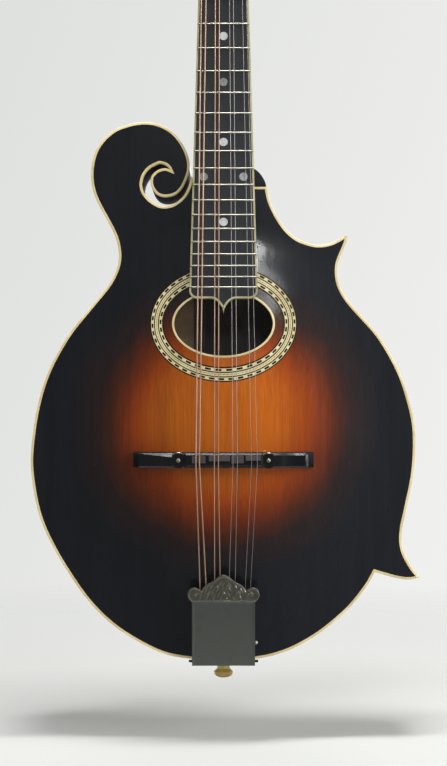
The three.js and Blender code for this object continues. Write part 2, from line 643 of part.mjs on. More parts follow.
// A button along x, its inner face at zero.
function tunerButton(side) {
  const profile = buttonShares.map(([out, along]) => flat(out * button.radius, along * button.length));
  return new THREE.LatheGeometry(profile, 9).scale(1, 1, button.flatShare).rotateX(Math.PI / 2)
    .rotateY((side * Math.PI) / 2);
}

function tuners() {
  const names = { [-1]: 'bass', [1]: 'treble' };
  for (const side of [-1, 1]) {
    const low = headBack + clearance;
    const high = low + plate.thickness;
    const edges = [side * plate.inner, side * plate.outer].sort((a, b) => a - b);
    const strip = block(vec(edges[0], low, firstTuner - plate.margin),
      vec(edges[1], high, tunerHeights.at(-1) + wormDistance + plate.margin));
    const earTop = gearPlane + ear.top;
    const ears = tunerHeights.flatMap((height) => [-1, 1].map((end) => {
      const x = side * tunerOffset + end * ear.offset;
      const z = height + wormDistance;
      return solid(block(vec(x - ear.thickness / 2, low + plate.thickness / 2, z - ear.half),
        vec(x + ear.thickness / 2, earTop, z + ear.half)));
    }));
    const bores = tunerHeights.map((height) => {
      const long = new THREE.CylinderGeometry(worm.core + clearance, worm.core + clearance, 2 * headWidth, 6);
      return solid(long.rotateZ(Math.PI / 2).translate(0, gearPlane, height + wormDistance));
    });
    const whole = join(solid(strip), ...ears).subtract(join(...bores)).subtract(postHoles(low, high));
    place(headGroup, `tuner_plate_${names[side]}`, whole, paint.nickel);
  }
  const posted = join(solid(gear()), solid(bar(post.radius, post.front, gearPlane, 10)));
  tunerPlaces.forEach(({ side, height }, i) => {
    const label = `${names[side]}_${(i % tunerCount) + 1}`;
    const x = side * tunerOffset;
    place(headGroup, `string_post_${label}`, posted, paint.brass).position.set(x, 0, height);
    place(headGroup, `tuner_worm_${label}`, wormOnShaft(side), paint.nickel)
      .position.set(x, gearPlane, height + wormDistance);
    place(headGroup, `tuner_button_${label}`, tunerButton(side), paint.ivoroid)
      .position.set(x + side * (wormShaft.outer + clearance), gearPlane, height + wormDistance);
  });
}

// The bridge

function bridge() {
  const { halfLength, depth, end, shoulder, top } = bridgeBase;
  const [tail, head] = [bridgeHeight - depth / 2, bridgeHeight + depth / 2];
  const crest = [[-1, end], [-0.72, shoulder], [-0.6, top], [-0.38, top], [-0.3, shoulder]];
  const outlineTop = [...crest, ...crest.map(([share, level]) => [-share, level]).reverse()]
    .map(([share, level]) => flat(share * halfLength, level));
  const baseShape = [...outlineTop, flat(halfLength, -plateFront), flat(-halfLength, -plateFront)];
  const across = (points) => {
    const run = { depth: head - tail, bevelEnabled: false };
    return new THREE.ExtrudeGeometry(new THREE.Shape(points), run).translate(0, 0, tail);
  };
  const postBores = (front, back) => join(...[-1, 1].map((side) =>
    solid(bar(bridgePost.radius + clearance, front, back, 12, side * bridgePosts, bridgeHeight))));
  const underBase = dome(topArch, plateFront + clearance, 0, skirtShare, true);
  const base = solid(across(baseShape)).subtract(solid(underBase))
    .subtract(postBores(top - overrun, bridgePost.foot + clearance));
  place(part, 'bridge_base', base, paint.ebony);

  const blade = saddle.blade;
  const saddleShape = [flat(-saddle.halfLength, saddle.back), flat(-saddle.halfLength, saddle.end),
    flat(-blade - overrun, saddle.shoulder), flat(-blade, saddle.top), flat(blade, saddle.top),
    flat(blade + overrun, saddle.shoulder), flat(saddle.halfLength, saddle.end),
    flat(saddle.halfLength, saddle.back)];
  const ridge = saddleHeight;
  const saddleSide = sideways([flat(saddle.back, tail + clearance), flat(saddle.shoulder, tail + clearance),
    flat(saddle.top, ridge - saddle.ridge), flat(saddle.top, ridge + saddle.ridge),
    flat(saddle.shoulder, head - clearance), flat(saddle.back, head - clearance)], 2 * saddle.halfLength);
  const saddleBlock = solid(across(saddleShape)).intersect(solid(saddleSide))
    .subtract(postBores(saddle.top - overrun, saddle.back + overrun));
  place(part, 'bridge_saddle', saddleBlock, paint.ebony);

  const wheelFront = thumbwheel.back - thumbwheel.thickness;
  for (const [name, side] of [['bass', -1], ['treble', 1]]) {
    const x = side * bridgePosts;
    const stud = bar(bridgePost.radius, bridgePost.top, bridgePost.foot, 12, x, bridgeHeight);
    place(part, `bridge_post_${name}`, stud, paint.nickel);
    const wheel = solid(bar(thumbwheel.radius, wheelFront, thumbwheel.back, 24, x, bridgeHeight));
    const bore = bar(bridgePost.radius + clearance, wheelFront - overrun, thumbwheel.back + overrun, 12, x,
      bridgeHeight);
    place(part, `thumbwheel_${name}`, wheel.subtract(solid(bore)), paint.nickel);
  }
}

// The tailpiece and the end pin

function tailpiece() {
  const { halfWidth, thickness, front, top, wall, wallTop, tabEnd, tabGap } = tailBase;
  const outside = tailHeight - tabGap - thickness;
  const rise = front - (top - tailHeight) * Math.tan(tailTilt);
  const bent = sideways([flat(front, outside), flat(tabEnd, outside), flat(tabEnd, outside + thickness),
    flat(front + thickness, outside + thickness), flat(rise + thickness, top), flat(rise, top)],
  2 * halfWidth);
  const plane = (height) => front - (height - tailHeight) * Math.tan(tailTilt);
  const hooks = stringsAtTail.map((x) => {
    const low = vec(x - hook.width / 2, plane(hook.at) - hook.height, hook.at - hook.length);
    return solid(block(low, vec(x + hook.width / 2, plane(hook.at) + thickness / 2, hook.at)));
  });
  const wallShape = [flat(plane(tailHeight) - wall, tailHeight), flat(plane(wallTop) - wall, wallTop),
    flat(plane(wallTop) + thickness / 2, wallTop), flat(plane(tailHeight) + thickness / 2, tailHeight)];
  const wallMiddle = halfWidth - thickness / 2;
  const walls = [-1, 1].map((side) => solid(sideways(wallShape, thickness, side * wallMiddle)));
  const hole = solid(bar(pinHole, 0, tailHeight, 16).rotateX(Math.PI / 2));
  place(part, 'tailpiece_base', join(solid(bent), ...walls, ...hooks).subtract(hole), paint.nickel);

  const coverGroup = new THREE.Group();
  coverGroup.rotation.x = tailTilt;
  coverGroup.position.set(0, cover.front, cover.foot);
  part.add(coverGroup);
  const crownPoint = ([across, up]) => flat(across * cover.halfWidth, up * cover.height);
  const crown = tracedOutline(crownShares, crownPoint, 1);
  const mirrored = crown.slice(0, -1).reverse().map((point) => flat(-point.x, point.y));
  const foot = [flat(-cover.halfWidth, 0), flat(cover.halfWidth, 0)];
  const face = prism([...foot, ...crown, ...mirrored], 0, cover.thickness);
  const lipTop = crown[0].y;
  const lips = [-1, 1].map((side) => {
    const edges = [side * cover.halfWidth, side * (cover.halfWidth - cover.lip)].sort((a, b) => a - b);
    return solid(block(vec(edges[0], 0, 0), vec(edges[1], cover.depth, lipTop)));
  });
  place(coverGroup, 'tailpiece_cover', join(solid(face), ...lips), paint.nickel);

  const profile = [flat(0, 0), flat(pin.end, 0), flat((pin.end + pin.head) / 2, pin.ridge / 3),
    flat(pin.head, pin.ridge), flat((pin.neck + pin.head) / 2, pin.headLength - pin.ridge / 3),
    flat(pin.neck, pin.headLength),
    flat(pin.neck, tailHeight), flat(pin.stem, pin.length), flat(0, pin.length)];
  place(part, 'endpin', new THREE.LatheGeometry(profile, 16).rotateX(Math.PI / 2), paint.ivoroid);
}

// The strings

// A round string through points, each ring square to its run.
function stringThrough(points, radius) {
  const sections = points.map((point, i) => {
    const before = points[Math.max(i - 1, 0)];
    const after = points[Math.min(i + 1, points.length - 1)];
    const along = after.clone().sub(before).normalize();
    const across = along.clone().cross(vec(0, 1, 0)).normalize();
    const up = across.clone().cross(along);
    return Array.from({ length: stringSides }, (_, k) => {
      const angle = (k / stringSides) * 2 * Math.PI;
      return point.clone().addScaledVector(across, radius * Math.cos(angle))
        .addScaledVector(up, radius * Math.sin(angle));
    });
  });
  return skin(sections);
}

function strings() {
  const names = ['g', 'g', 'd', 'd', 'a', 'a', 'e', 'e'];
  // Each string's coil lies further out on its post than the one before it
  const coilStep = 2 * Math.max(...stringRadii) + clearance;
  stringRadii.forEach((radius, i) => {
    const side = i < tunerCount ? -1 : 1;
    const order = side < 0 ? i : 2 * tunerCount - 1 - i;
    const height = tunerHeights[order];
    const wrap = post.radius + clearance + radius;
    const level = stringLift.post - order * coilStep;
    const start = side < 0 ? 0 : Math.PI;
    const wraps = 7;
    const coil = Array.from({ length: wraps }, (_, k) => {
      const angle = start - side * (k / 8) * 2 * Math.PI;
      return vec(side * tunerOffset + wrap * Math.cos(angle), level, height + wrap * Math.sin(angle));
    });
    const points = [
      vec(stringsAtTail[i], -stringLift.hook - radius, hook.at + clearance),
      vec(stringsAtSaddle[i], -stringLift.saddle - radius, 0).applyMatrix4(neckFrame),
      vec(stringsAtNut[i], -stringLift.nut - radius, scaleLength).applyMatrix4(neckFrame),
      vec(stringsAtNut[i], -stringLift.nut - radius, scaleLength + nut.length).applyMatrix4(neckFrame),
      ...coil.map((point) => point.applyMatrix4(headFrame)),
    ];
    const finish = i < tunerCount ? paint.bronze : paint.steel;
    place(part, `string_${names[i]}_${(i % 2) + 1}`, stringThrough(points, radius), finish);
  });
}

body();
neck();
fingerboard();
tuners();
bridge();
tailpiece();
strings();

export default part;
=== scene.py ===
"""Dresses the mandolin over its CAD frame: fine surfaces, finishes, light and camera.

Shapes are worked out in millimetres in the frame of the CAD model, +Z up the neck and the front
facing -Y, and turned into metres when a mesh is made. Outlines are points across and up.
"""

import math

import bmesh
import bpy
import numpy as np
from mathutils import Matrix, Vector
from mathutils.geometry import delaunay_2d_cdt


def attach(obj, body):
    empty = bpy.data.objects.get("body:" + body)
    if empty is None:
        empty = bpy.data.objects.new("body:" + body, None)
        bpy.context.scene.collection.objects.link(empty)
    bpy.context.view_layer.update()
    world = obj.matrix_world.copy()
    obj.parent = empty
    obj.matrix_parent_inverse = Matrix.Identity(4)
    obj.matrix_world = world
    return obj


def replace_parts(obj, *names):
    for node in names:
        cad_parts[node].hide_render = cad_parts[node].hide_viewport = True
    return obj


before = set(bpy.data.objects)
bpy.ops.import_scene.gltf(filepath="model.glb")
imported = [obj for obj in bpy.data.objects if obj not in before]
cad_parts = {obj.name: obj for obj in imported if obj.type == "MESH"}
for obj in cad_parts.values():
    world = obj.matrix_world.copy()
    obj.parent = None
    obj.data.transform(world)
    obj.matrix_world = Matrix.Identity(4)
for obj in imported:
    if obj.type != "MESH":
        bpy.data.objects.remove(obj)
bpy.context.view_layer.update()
MM = 0.001
ROOT = "instrument"

# Sizes shared with the CAD model, in millimetres
RIM_HALF = 20.5
RIM_WALL = 2.2
PLATE_BACK = 20.8
PLATE_FRONT = 24.8
TOP_ARCH = 12.0
BACK_ARCH = 11.0
PLATE_SWELL = 1.0
ARCH_HALF = (116.0, 140.0)
ARCH_CENTRE = 158.2
ARCH_POWER = 1.25
HOLE_CENTRE = 229.7
HOLE_HALF = (32.8, 21.9)
HOLE_BINDING = 1.35
ROSETTE_INNER = (38.3, 27.6)
ROSETTE_OUTER = (46.8, 37.2)
SCALE = 352.4
SADDLE_HEIGHT = 141.4
BOARD_AT_SADDLE = -49.1
BOARD_THICKNESS = 5.0
NUT_WIDTH = 29.1
BOARD_FLARE = 0.057
BOARD_END = 6.9
BOARD_CORNER = 5.3
BOARD_TIP = (7.9, 10.0)
BOARD_BINDING = 1.15
EDGE_BINDING = 1.6
FRETS = 20
NUT_LENGTH = 4.4
CLEARANCE = 0.3
NECK_PITCH = math.radians(4)
HEAD_PITCH = math.radians(14)
HEAD_OFFSET = SCALE + NUT_LENGTH + 2 * CLEARANCE
HEAD_FRONT = 3.0
HEAD_BACK = 18.0
NECK_JOINT = 317.36
TUNER_OFFSET = 19.0
TUNER_HEIGHTS = (30.0, 53.0, 76.0, 99.0)
GEAR_PLANE = 22.2
WORM_DISTANCE = 6.0
POST_RADIUS = 3.0
POST_FRONT = -11.0
BRIDGE_HEIGHT = 143.4
BRIDGE_POSTS = 28.2
TAIL_TILT = math.radians(4.5)
COVER_PLACE = (0.0, -37.0, 13.0)

NECK = Matrix.Translation((0, BOARD_AT_SADDLE, SADDLE_HEIGHT)) @ Matrix.Rotation(-NECK_PITCH, 4, "X")
HEAD = NECK @ Matrix.Translation((0, 0, HEAD_OFFSET)) @ Matrix.Rotation(-HEAD_PITCH, 4, "X")
COVER = Matrix.Translation(COVER_PLACE) @ Matrix.Rotation(TAIL_TILT, 4, "X")
HERE = Matrix.Identity(4)
FORWARDS = Matrix.Rotation(math.pi / 2, 4, "X")
BACKWARDS = Matrix.Rotation(-math.pi / 2, 4, "X")

# Points closer than this are made one, on a new mesh and on a CAD node
WELD = 0.002
CAD_WELD = 0.004
# How near an outline's point has to be to a named corner to be that corner
CORNER_REACH = 6.0
LEAST_RADIUS = 0.001
BEVEL_ANGLE = math.radians(30)


# Making meshes

class Skin:
    """Points in millimetres and faces that become one mesh."""

    def __init__(self):
        self.points = []
        self.faces = []
        self.kinds = []

    def add(self, points, faces, kind=0):
        """Faces over points, with one finish for all or a list of one for each."""
        start = len(self.points)
        self.points += [Vector(p) for p in points]
        self.faces += [[start + i for i in face] for face in faces]
        self.kinds += kind if isinstance(kind, list) else [kind] * len(faces)

    def strip(self, a, b, closed=True, kind=0):
        """Quads between two rows of points of equal length."""
        n = len(a)
        spans = n if closed else n - 1
        self.add([*a, *b], [(i, (i + 1) % n, n + (i + 1) % n, n + i) for i in range(spans)], kind)

    def loft(self, rows, capped=True, kind=0):
        """A skin around closed rows of points, with its ends closed unless said otherwise."""
        for a, b in zip(rows, rows[1:]):
            self.strip(a, b, kind=kind)
        for end in (rows[0], rows[-1]) if capped else ():
            self.add(end, [range(len(end))], kind)

    def make(self, name, finishes, place=HERE, body=ROOT, sharp=35, solid=True):
        """The mesh as a piece that rides on a body, smooth but for edges sharper than an angle."""
        mesh = bpy.data.meshes.new(name)
        mesh.from_pydata([tuple(p) for p in self.points], [], self.faces)
        mesh.polygons.foreach_set("material_index", self.kinds)
        b = bmesh.new()
        b.from_mesh(mesh)
        bmesh.ops.remove_doubles(b, verts=b.verts, dist=WELD)
        if solid:
            bmesh.ops.recalc_face_normals(b, faces=b.faces)
        b.to_mesh(mesh)
        b.free()
        mesh.transform(Matrix.Scale(MM, 4) @ place)
        mesh.polygons.foreach_set("use_smooth", [True] * len(mesh.polygons))
        mesh.set_sharp_from_angle(angle=math.radians(sharp))
        for finish in finishes if isinstance(finishes, list) else [finishes]:
            mesh.materials.append(finish)
        piece = placed(name, mesh)
        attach(piece, body)
        return piece


def placed(name, data):
    thing = bpy.data.objects.new(name, data)
    bpy.context.scene.collection.objects.link(thing)
    return thing


def paint(node, finish):
    """Gives a CAD node that stays as it is a better material."""
    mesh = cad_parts[node].data
    mesh.materials.clear()
    mesh.materials.append(finish)


def bevelled(piece, width):
    bevel = piece.modifiers.new("edges", "BEVEL")
    bevel.width = width * MM
    bevel.segments = 2
    bevel.limit_method = "ANGLE"
    bevel.angle_limit = BEVEL_ANGLE
    return piece


# Outlines

def lift(loop, y):
    """An outline as points at a depth, or at the depth that a function gives."""
    return [(x, y(x, z) if callable(y) else y, z) for x, z in loop]


def counter_clockwise(loop):
    x, z = loop.T
    area = (x * np.roll(z, -1) - np.roll(x, -1) * z).sum()
    return loop if area > 0 else loop[::-1]


def length(loop):
    return np.hypot(*(loop - np.roll(loop, 1, 0)).T).sum()


def cap_outline(node, place=HERE):
    """The longest outline of a CAD node's front cap, in a place's frame."""
    b = bmesh.new()
    b.from_mesh(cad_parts[node].data)
    bmesh.ops.transform(b, matrix=place.inverted() @ Matrix.Scale(1 / MM, 4), verts=b.verts)
    bmesh.ops.remove_doubles(b, verts=b.verts, dist=CAD_WELD)
    b.normal_update()
    front = {f for f in b.faces if f.normal.y < -0.99}
    ways = {}
    for edge in b.edges:
        if len([f for f in edge.link_faces if f in front]) == 1:
            for v, w in (edge.verts, reversed(edge.verts)):
                ways.setdefault(v, []).append(w)
    loops = []
    seen = set()
    for start in ways:
        loop = []
        onward = [start]
        while fresh := [v for v in onward if v not in seen]:
            seen.add(fresh[0])
            loop.append((fresh[0].co.x, fresh[0].co.z))
            onward = ways[fresh[0]]
        if loop:
            loops.append(np.array(loop))
    b.free()
    return counter_clockwise(max(loops, key=length))


def span(p0, p1, p2, p3, step):
    """Points from p1 up to p2 on a centripetal Catmull-Rom curve."""
    gaps = [max(math.dist(a, b), 1e-6) ** 0.5 for a, b in ((p0, p1), (p1, p2), (p2, p3))]
    t0, t1, t2, t3 = 0.0, gaps[0], gaps[0] + gaps[1], sum(gaps)
    count = max(1, round(math.dist(p1, p2) / step))
    u = np.linspace(t1, t2, count, endpoint=False)[:, None]

    def blend(a, b, start, end):
        return ((end - u) * a + (u - start) * b) / (end - start)

    middle = blend(p1, p2, t1, t2)
    first = blend(blend(p0, p1, t0, t1), middle, t0, t2)
    last = blend(middle, blend(p2, p3, t2, t3), t1, t3)
    return blend(first, last, t1, t2)


def curve(points, step):
    """A smooth open curve through points, its last point included."""
    points = np.array(points, float)
    padded = np.vstack([2 * points[0] - points[1], points, 2 * points[-1] - points[-2]])
    parts = [span(*padded[i:i + 4], step) for i in range(len(points) - 1)]
    return np.vstack(parts + [points[-1:]])


def smooth(loop, corners, step=1.0):
    """A closed outline as a fine curve through its points that keeps the named corners."""
    gaps = [np.hypot(*(loop - corner).T) for corner in corners]
    sharp = sorted({int(gap.argmin()) for gap in gaps if gap.min() < CORNER_REACH})
    runs = zip(sharp, sharp[1:] + [sharp[0] + len(loop)])
    return np.vstack([curve(np.take(loop, range(a, b + 1), 0, mode="wrap"), step)[:-1] for a, b in runs])


def inset(loop, distance, longest=2.5):
    """A counter-clockwise outline moved inwards point by point."""
    before = loop - np.roll(loop, 1, 0)
    after = np.roll(loop, -1, 0) - loop
    before /= np.linalg.norm(before, axis=1)[:, None]
    after /= np.linalg.norm(after, axis=1)[:, None]
    middle = before + after
    middle /= np.maximum(np.linalg.norm(middle, axis=1), 1e-6)[:, None]
    share = np.clip((middle * after).sum(1), 1 / longest, 1)
    inward = np.stack([-middle[:, 1], middle[:, 0]], 1)
    return loop + inward * (distance / share)[:, None]


def ellipse(half, count, centre=HOLE_CENTRE, grow=0.0):
    angles = np.arange(count) / count * 2 * math.pi
    return np.stack([(half[0] + grow) * np.cos(angles), centre + (half[1] + grow) * np.sin(angles)], 1)


def circle(count):
    """Angles once round, without the first again at the end."""
    return [2 * math.pi * k / count for k in range(count)]


def arc(angle, count):
    """Angles from zero up to an angle, both included."""
    return [angle * k / count for k in range(count + 1)]


def enclosed(loop, points):
    """Which points lie inside an outline."""
    x, z = points.T
    inside = np.zeros(len(points), bool)
    for (ax, az), (bx, bz) in zip(loop, np.roll(loop, -1, 0)):
        crosses = (az > z) != (bz > z)
        if crosses.any():
            inside ^= crosses & (x < ax + (z - az) * (bx - ax) / (bz - az))
    return inside


def within(loops, points):
    """Which points lie inside the first outline and outside the others."""
    kept = enclosed(loops[0], points)
    for hole in loops[1:]:
        kept &= ~enclosed(hole, points)
    return kept


def distance_to(loop, points):
    """The distance of each point from an outline's points."""
    best = np.full(len(points), np.inf)
    for p in loop:
        best = np.minimum(best, np.hypot(*(points - p).T))
    return best


def inner_grid(loops, spacing, margin):
    """Points of a hexagonal grid that lie between the outlines, off their edges."""
    (x0, z0), (x1, z1) = loops[0].min(0), loops[0].max(0)
    rows = np.arange(z0, z1, spacing * 0.866)
    points = np.array([(x + (i % 2) * spacing / 2, z) for i, z in enumerate(rows)
                       for x in np.arange(x0, x1, spacing)])
    points = points[within(loops, points)]
    return points[distance_to(np.vstack(loops), points) > margin]


def fill(loops, inside=()):
    """Triangles inside the first outline and outside the others, over extra points if given."""
    points = []
    edges = []
    for loop in loops:
        start = len(points)
        points += [Vector(p) for p in loop]
        edges += [(start + i, start + (i + 1) % len(loop)) for i in range(len(loop))]
    made = delaunay_2d_cdt(points + [Vector(p) for p in inside], edges, [], 0, 1e-5)
    spots = np.array([(p.x, p.y) for p in made[0]])
    faces = np.array(made[2])
    return spots, faces[within(loops, spots[faces].mean(1))].tolist()


# Shapes made of outlines

def sheet(skin, loops, depth, grid=None, turned_over=False, kind=0):
    """A surface between outlines that faces the front, or the back if turned over."""
    flat, faces = fill(loops, inner_grid(loops, *grid) if grid else ())
    skin.add(lift(flat, depth), [face[::-1] for face in faces] if turned_over else faces, kind)


def wall(skin, loop, front, back, kind=0):
    skin.strip(lift(loop, front), lift(loop, back), kind=kind)


def slab(skin, loops, front, back):
    """A plate between outlines, from a front to a back depth."""
    sheet(skin, loops, front)
    sheet(skin, loops, back, turned_over=True)
    for loop in loops:
        wall(skin, loop, front, back)


def rounded(skin, outer, holes, front, back, radius, both=False):
    """A plate rounded round its front, which lies behind its back if the radius is negative."""
    steps = [(abs(radius) * (1 - math.sin(t)), radius * (1 - math.cos(t))) for t in arc(math.pi / 2, 3)]
    rows = [(d, front + drop) for d, drop in steps]
    rows += [(d, back - drop) for d, drop in steps[::-1]] if both else [(0.0, back)]
    skin.loft([lift(inset(outer, d), y) for d, y in rows], capped=False)
    for (d, y), turned_over in ((rows[0], False), (rows[-1], True)):
        sheet(skin, [inset(outer, d), *holes], y, turned_over=turned_over)
    for hole in holes:
        wall(skin, hole, front, back)


def bar(skin, section, left, right, kind=0):
    """A straight bar across, with a section of depths and heights."""
    skin.loft([[(x, y, z) for y, z in section] for x in (left, right)], kind=kind)


def box(skin, low, high):
    (x0, y0, z0), (x1, y1, z1) = low, high
    corners = [(x, y, z) for z in (z0, z1) for y in (y0, y1) for x in (x0, x1)]
    skin.add(corners, [(0, 2, 3, 1), (4, 5, 7, 6), (0, 1, 5, 4), (2, 6, 7, 3), (0, 4, 6, 2), (1, 3, 7, 5)])


def tube(skin, path, radius, sides, kind=0):
    """A round bar along a path."""
    path = [Vector(p) for p in path]
    side = (path[1] - path[0]).normalized().orthogonal().normalized()
    rows = []
    for i, p in enumerate(path):
        along = (path[min(i + 1, len(path) - 1)] - path[max(i - 1, 0)]).normalized()
        side = (side - along * side.dot(along)).normalized()
        up = along.cross(side)
        rows.append([p + radius * (side * math.cos(t) + up * math.sin(t)) for t in circle(sides)])
    skin.loft(rows, kind=kind)


def turned(skin, profile, segments, place=HERE, kind=0, squash=1.0):
    """A body of revolution about z through points of radius and height."""
    rows = []
    for radius, height in profile:
        radius = max(radius, LEAST_RADIUS)
        rows.append([place @ Vector((radius * math.cos(t), squash * radius * math.sin(t), height))
                     for t in circle(segments)])
    skin.loft(rows, kind=kind)


# Finishes

class Nodes:
    """The nodes of a material or a world, with short ways to add more."""

    def __init__(self, owner, shader, place):
        owner.use_nodes = True
        self.owner = owner
        self.tree = owner.node_tree
        self.shader = self.tree.nodes[shader]
        self.place = self.node("ShaderNodeTexCoord").outputs[place]

    def node(self, kind, settings=None, **inputs):
        made = self.tree.nodes.new(kind)
        for key, value in (settings or {}).items():
            setattr(made, key, value)
        for key, value in inputs.items():
            self.feed(made.inputs[key.replace("_", " ")], value)
        return made

    def feed(self, socket, value):
        if isinstance(value, bpy.types.NodeSocket):
            self.tree.links.new(value, socket)
        else:
            socket.default_value = value

    def set(self, **inputs):
        """Feeds the shader, and gives back the material or the world."""
        for key, value in inputs.items():
            self.feed(self.shader.inputs[key.replace("_", " ")], value)
        return self.owner

    def combined(self, kind, operation, a, b):
        made = self.node(kind, {"operation": operation})
        self.feed(made.inputs[0], a)
        self.feed(made.inputs[1], b)
        return made.outputs[0]

    def math(self, operation, a, b=0.0):
        return self.combined("ShaderNodeMath", operation, a, b)

    def vector(self, operation, a, b):
        return self.combined("ShaderNodeVectorMath", operation, a, b)

    def axis(self, name):
        return self.node("ShaderNodeSeparateXYZ", Vector=self.place).outputs[name]

    def stretched(self, scale, source=None):
        """Object places scaled differently along each axis."""
        return self.vector("MULTIPLY", source or self.place, scale)

    def noise(self, vector, scale=1.0, detail=2.0, roughness=0.5, output="Fac"):
        made = self.node("ShaderNodeTexNoise", Vector=vector, Scale=scale, Detail=detail, Roughness=roughness)
        return made.outputs[output]

    def ramp(self, value, stops):
        made = self.node("ShaderNodeValToRGB", Fac=value)
        elements = made.color_ramp.elements
        while len(elements) < len(stops):
            elements.new(0.5)
        for element, (at, tone) in zip(elements, stops):
            element.position = at
            element.color = (*linear(*tone), 1.0)
        return made.outputs["Color"]

    def between(self, value, low, high, out_low=0.0, out_high=1.0):
        made = self.node("ShaderNodeMapRange", Value=value, From_Min=low, From_Max=high,
                         To_Min=out_low, To_Max=out_high)
        return made.outputs[0]

    def mix(self, a, b, factor=0.5, kind="MIX"):
        made = self.node("ShaderNodeMix", {"data_type": "RGBA", "blend_type": kind})
        self.feed(made.inputs[0], factor)
        for socket, value in ((made.inputs[6], a), (made.inputs[7], b)):
            self.feed(socket, value if isinstance(value, bpy.types.NodeSocket) else (*value, 1.0))
        return made.outputs[2]

    def bump(self, height, strength, depth, before=None):
        made = self.node("ShaderNodeBump", Height=height, Strength=strength, Distance=depth * MM)
        if before is not None:
            self.feed(made.inputs["Normal"], before)
        return made.outputs["Normal"]

    def shaders(self, a, b, factor):
        """One shader that goes over into another."""
        made = self.node("ShaderNodeMixShader")
        for socket, value in zip(made.inputs, (factor, a, b)):
            self.feed(socket, value)
        return made.outputs[0]


def material(name):
    return Nodes(bpy.data.materials.new(name), "Principled BSDF", "Object")


def linear(red, green, blue):
    """A colour written in the 0 to 255 steps of a screen, as linear light."""
    step = lambda c: c / 12.92 if c <= 0.04045 else ((c + 0.055) / 1.055) ** 2.4
    return tuple(step(c / 255) for c in (red, green, blue))


def sunburst(f, centre, reach, stops, strength=0.18, painted_side_light=(1.0, 1.0)):
    """Shades by distance from a centre, with upright grain and a painted light that makes one side brighter.
    """
    x = f.math("DIVIDE", f.math("SUBTRACT", f.axis("X"), centre[0] * MM), reach[0] * MM)
    z = f.math("DIVIDE", f.math("SUBTRACT", f.axis("Z"), centre[1] * MM), reach[1] * MM)
    far = f.math("SQRT", f.math("ADD", f.math("MULTIPLY", x, x), f.math("MULTIPLY", z, z)))
    uneven = f.noise(f.stretched((20, 20, 14)), detail=3)
    far = f.math("ADD", far, f.between(uneven, 0.3, 0.7, -0.06, 0.06))
    colour = f.ramp(f.math("DIVIDE", far, 2.0), stops)
    fine = f.noise(f.stretched((1500, 1500, 14)), detail=3, roughness=0.6)
    broad = f.noise(f.stretched((190, 190, 5)))
    shade = f.math("MULTIPLY", f.between(fine, 0.3, 0.7, 1 - strength, 1 + strength),
                   f.between(broad, 0.3, 0.7, 1 - strength / 2, 1 + strength / 2))
    # Painted light: the colour is scaled up from the -X side to the +X side, as if lit from +X
    shade = f.math("MULTIPLY", shade, f.between(f.axis("X"), -0.045, 0.045, *painted_side_light))
    grey = f.node("ShaderNodeCombineColor", Red=shade, Green=shade, Blue=shade).outputs[0]
    return f.mix(colour, grey, 1.0, "MULTIPLY"), fine, broad


def top_finish():
    f = material("spruce_sunburst")
    stops = [(0.0, (180, 93, 18)), (0.25, (176, 90, 14)), (0.35, (161, 77, 11)), (0.425, (141, 59, 8)),
             (0.5, (106, 42, 11)), (0.575, (68, 31, 16)), (0.65, (38, 25, 23)), (0.8, (22, 23, 27)),
             (1.0, (21, 23, 27))]
    # Painted light: the top is painted darker towards -X and brighter towards +X
    colour, fine, broad = sunburst(f, (-0.8, 168.2), (63.0, 61.0), stops, painted_side_light=(0.78, 1.22))
    scuff = f.noise(f.place, scale=160.0, detail=5, roughness=0.7)
    colour = f.mix(colour, linear(150, 130, 110), f.between(scuff, 0.7, 0.78, 0.0, 0.3))
    normal = f.bump(broad, 0.22, 0.1, f.bump(fine, 0.3, 0.05))
    rough = f.between(f.noise(f.stretched((60, 60, 20)), detail=4), 0.3, 0.7, 0.2, 0.34)
    return f.set(Base_Color=colour, Roughness=rough, Normal=normal, IOR=1.42, Specular_IOR_Level=0.16,
                 Coat_Weight=0.75, Coat_Roughness=0.085, Coat_Normal=normal)


def back_finish():
    f = material("maple_sunburst")
    stops = [(0.0, (118, 52, 22)), (0.25, (112, 46, 20)), (0.42, (84, 30, 16)), (0.56, (48, 18, 13)),
             (0.72, (24, 13, 13)), (1.0, (17, 13, 14))]
    colour, fine, _ = sunburst(f, (0.0, 150.0), (76.0, 100.0), stops, 0.08)
    wander = f.noise(f.place, scale=22.0, output="Color")
    bent = f.vector("ADD", f.stretched((5, 5, 190)), f.stretched((0.0, 0.0, 1.6), wander))
    flame = f.between(f.noise(bent), 0.35, 0.65, 0.0, 0.55)
    return f.set(Base_Color=f.mix(colour, (0.42, 0.42, 0.42), flame, "MULTIPLY"), Roughness=0.22,
                 Normal=f.bump(fine, 0.12, 0.03), IOR=1.42, Coat_Weight=0.3, Coat_Roughness=0.1)


def side_finish(name="maple_side", light=(34, 17, 13), dark=(17, 13, 14)):
    f = material(name)
    flame = f.noise(f.stretched((120, 12, 120)), detail=3)
    grain = f.noise(f.stretched((60, 900, 60)), detail=3)
    colour = f.mix(linear(*dark), linear(*light), f.between(flame, 0.35, 0.65))
    colour = f.mix(colour, (0.7, 0.7, 0.7), f.between(grain, 0.4, 0.7, 0.0, 0.5), "MULTIPLY")
    return f.set(Base_Color=colour, Roughness=f.between(grain, 0.3, 0.7, 0.2, 0.3),
                 Normal=f.bump(grain, 0.15, 0.03), IOR=1.42, Coat_Weight=0.3, Coat_Roughness=0.1)


def bare_wood(name, light, dark):
    f = material(name)
    grain = f.noise(f.stretched((700, 700, 12)), detail=4, roughness=0.6)
    rings = f.noise(f.stretched((150, 150, 6)))
    colour = f.mix(linear(*light), linear(*dark), f.between(grain, 0.3, 0.7))
    colour = f.mix(colour, linear(*dark), f.between(rings, 0.45, 0.7, 0.0, 0.5))
    return f.set(Base_Color=colour, Roughness=0.75, Normal=f.bump(grain, 0.4, 0.08))


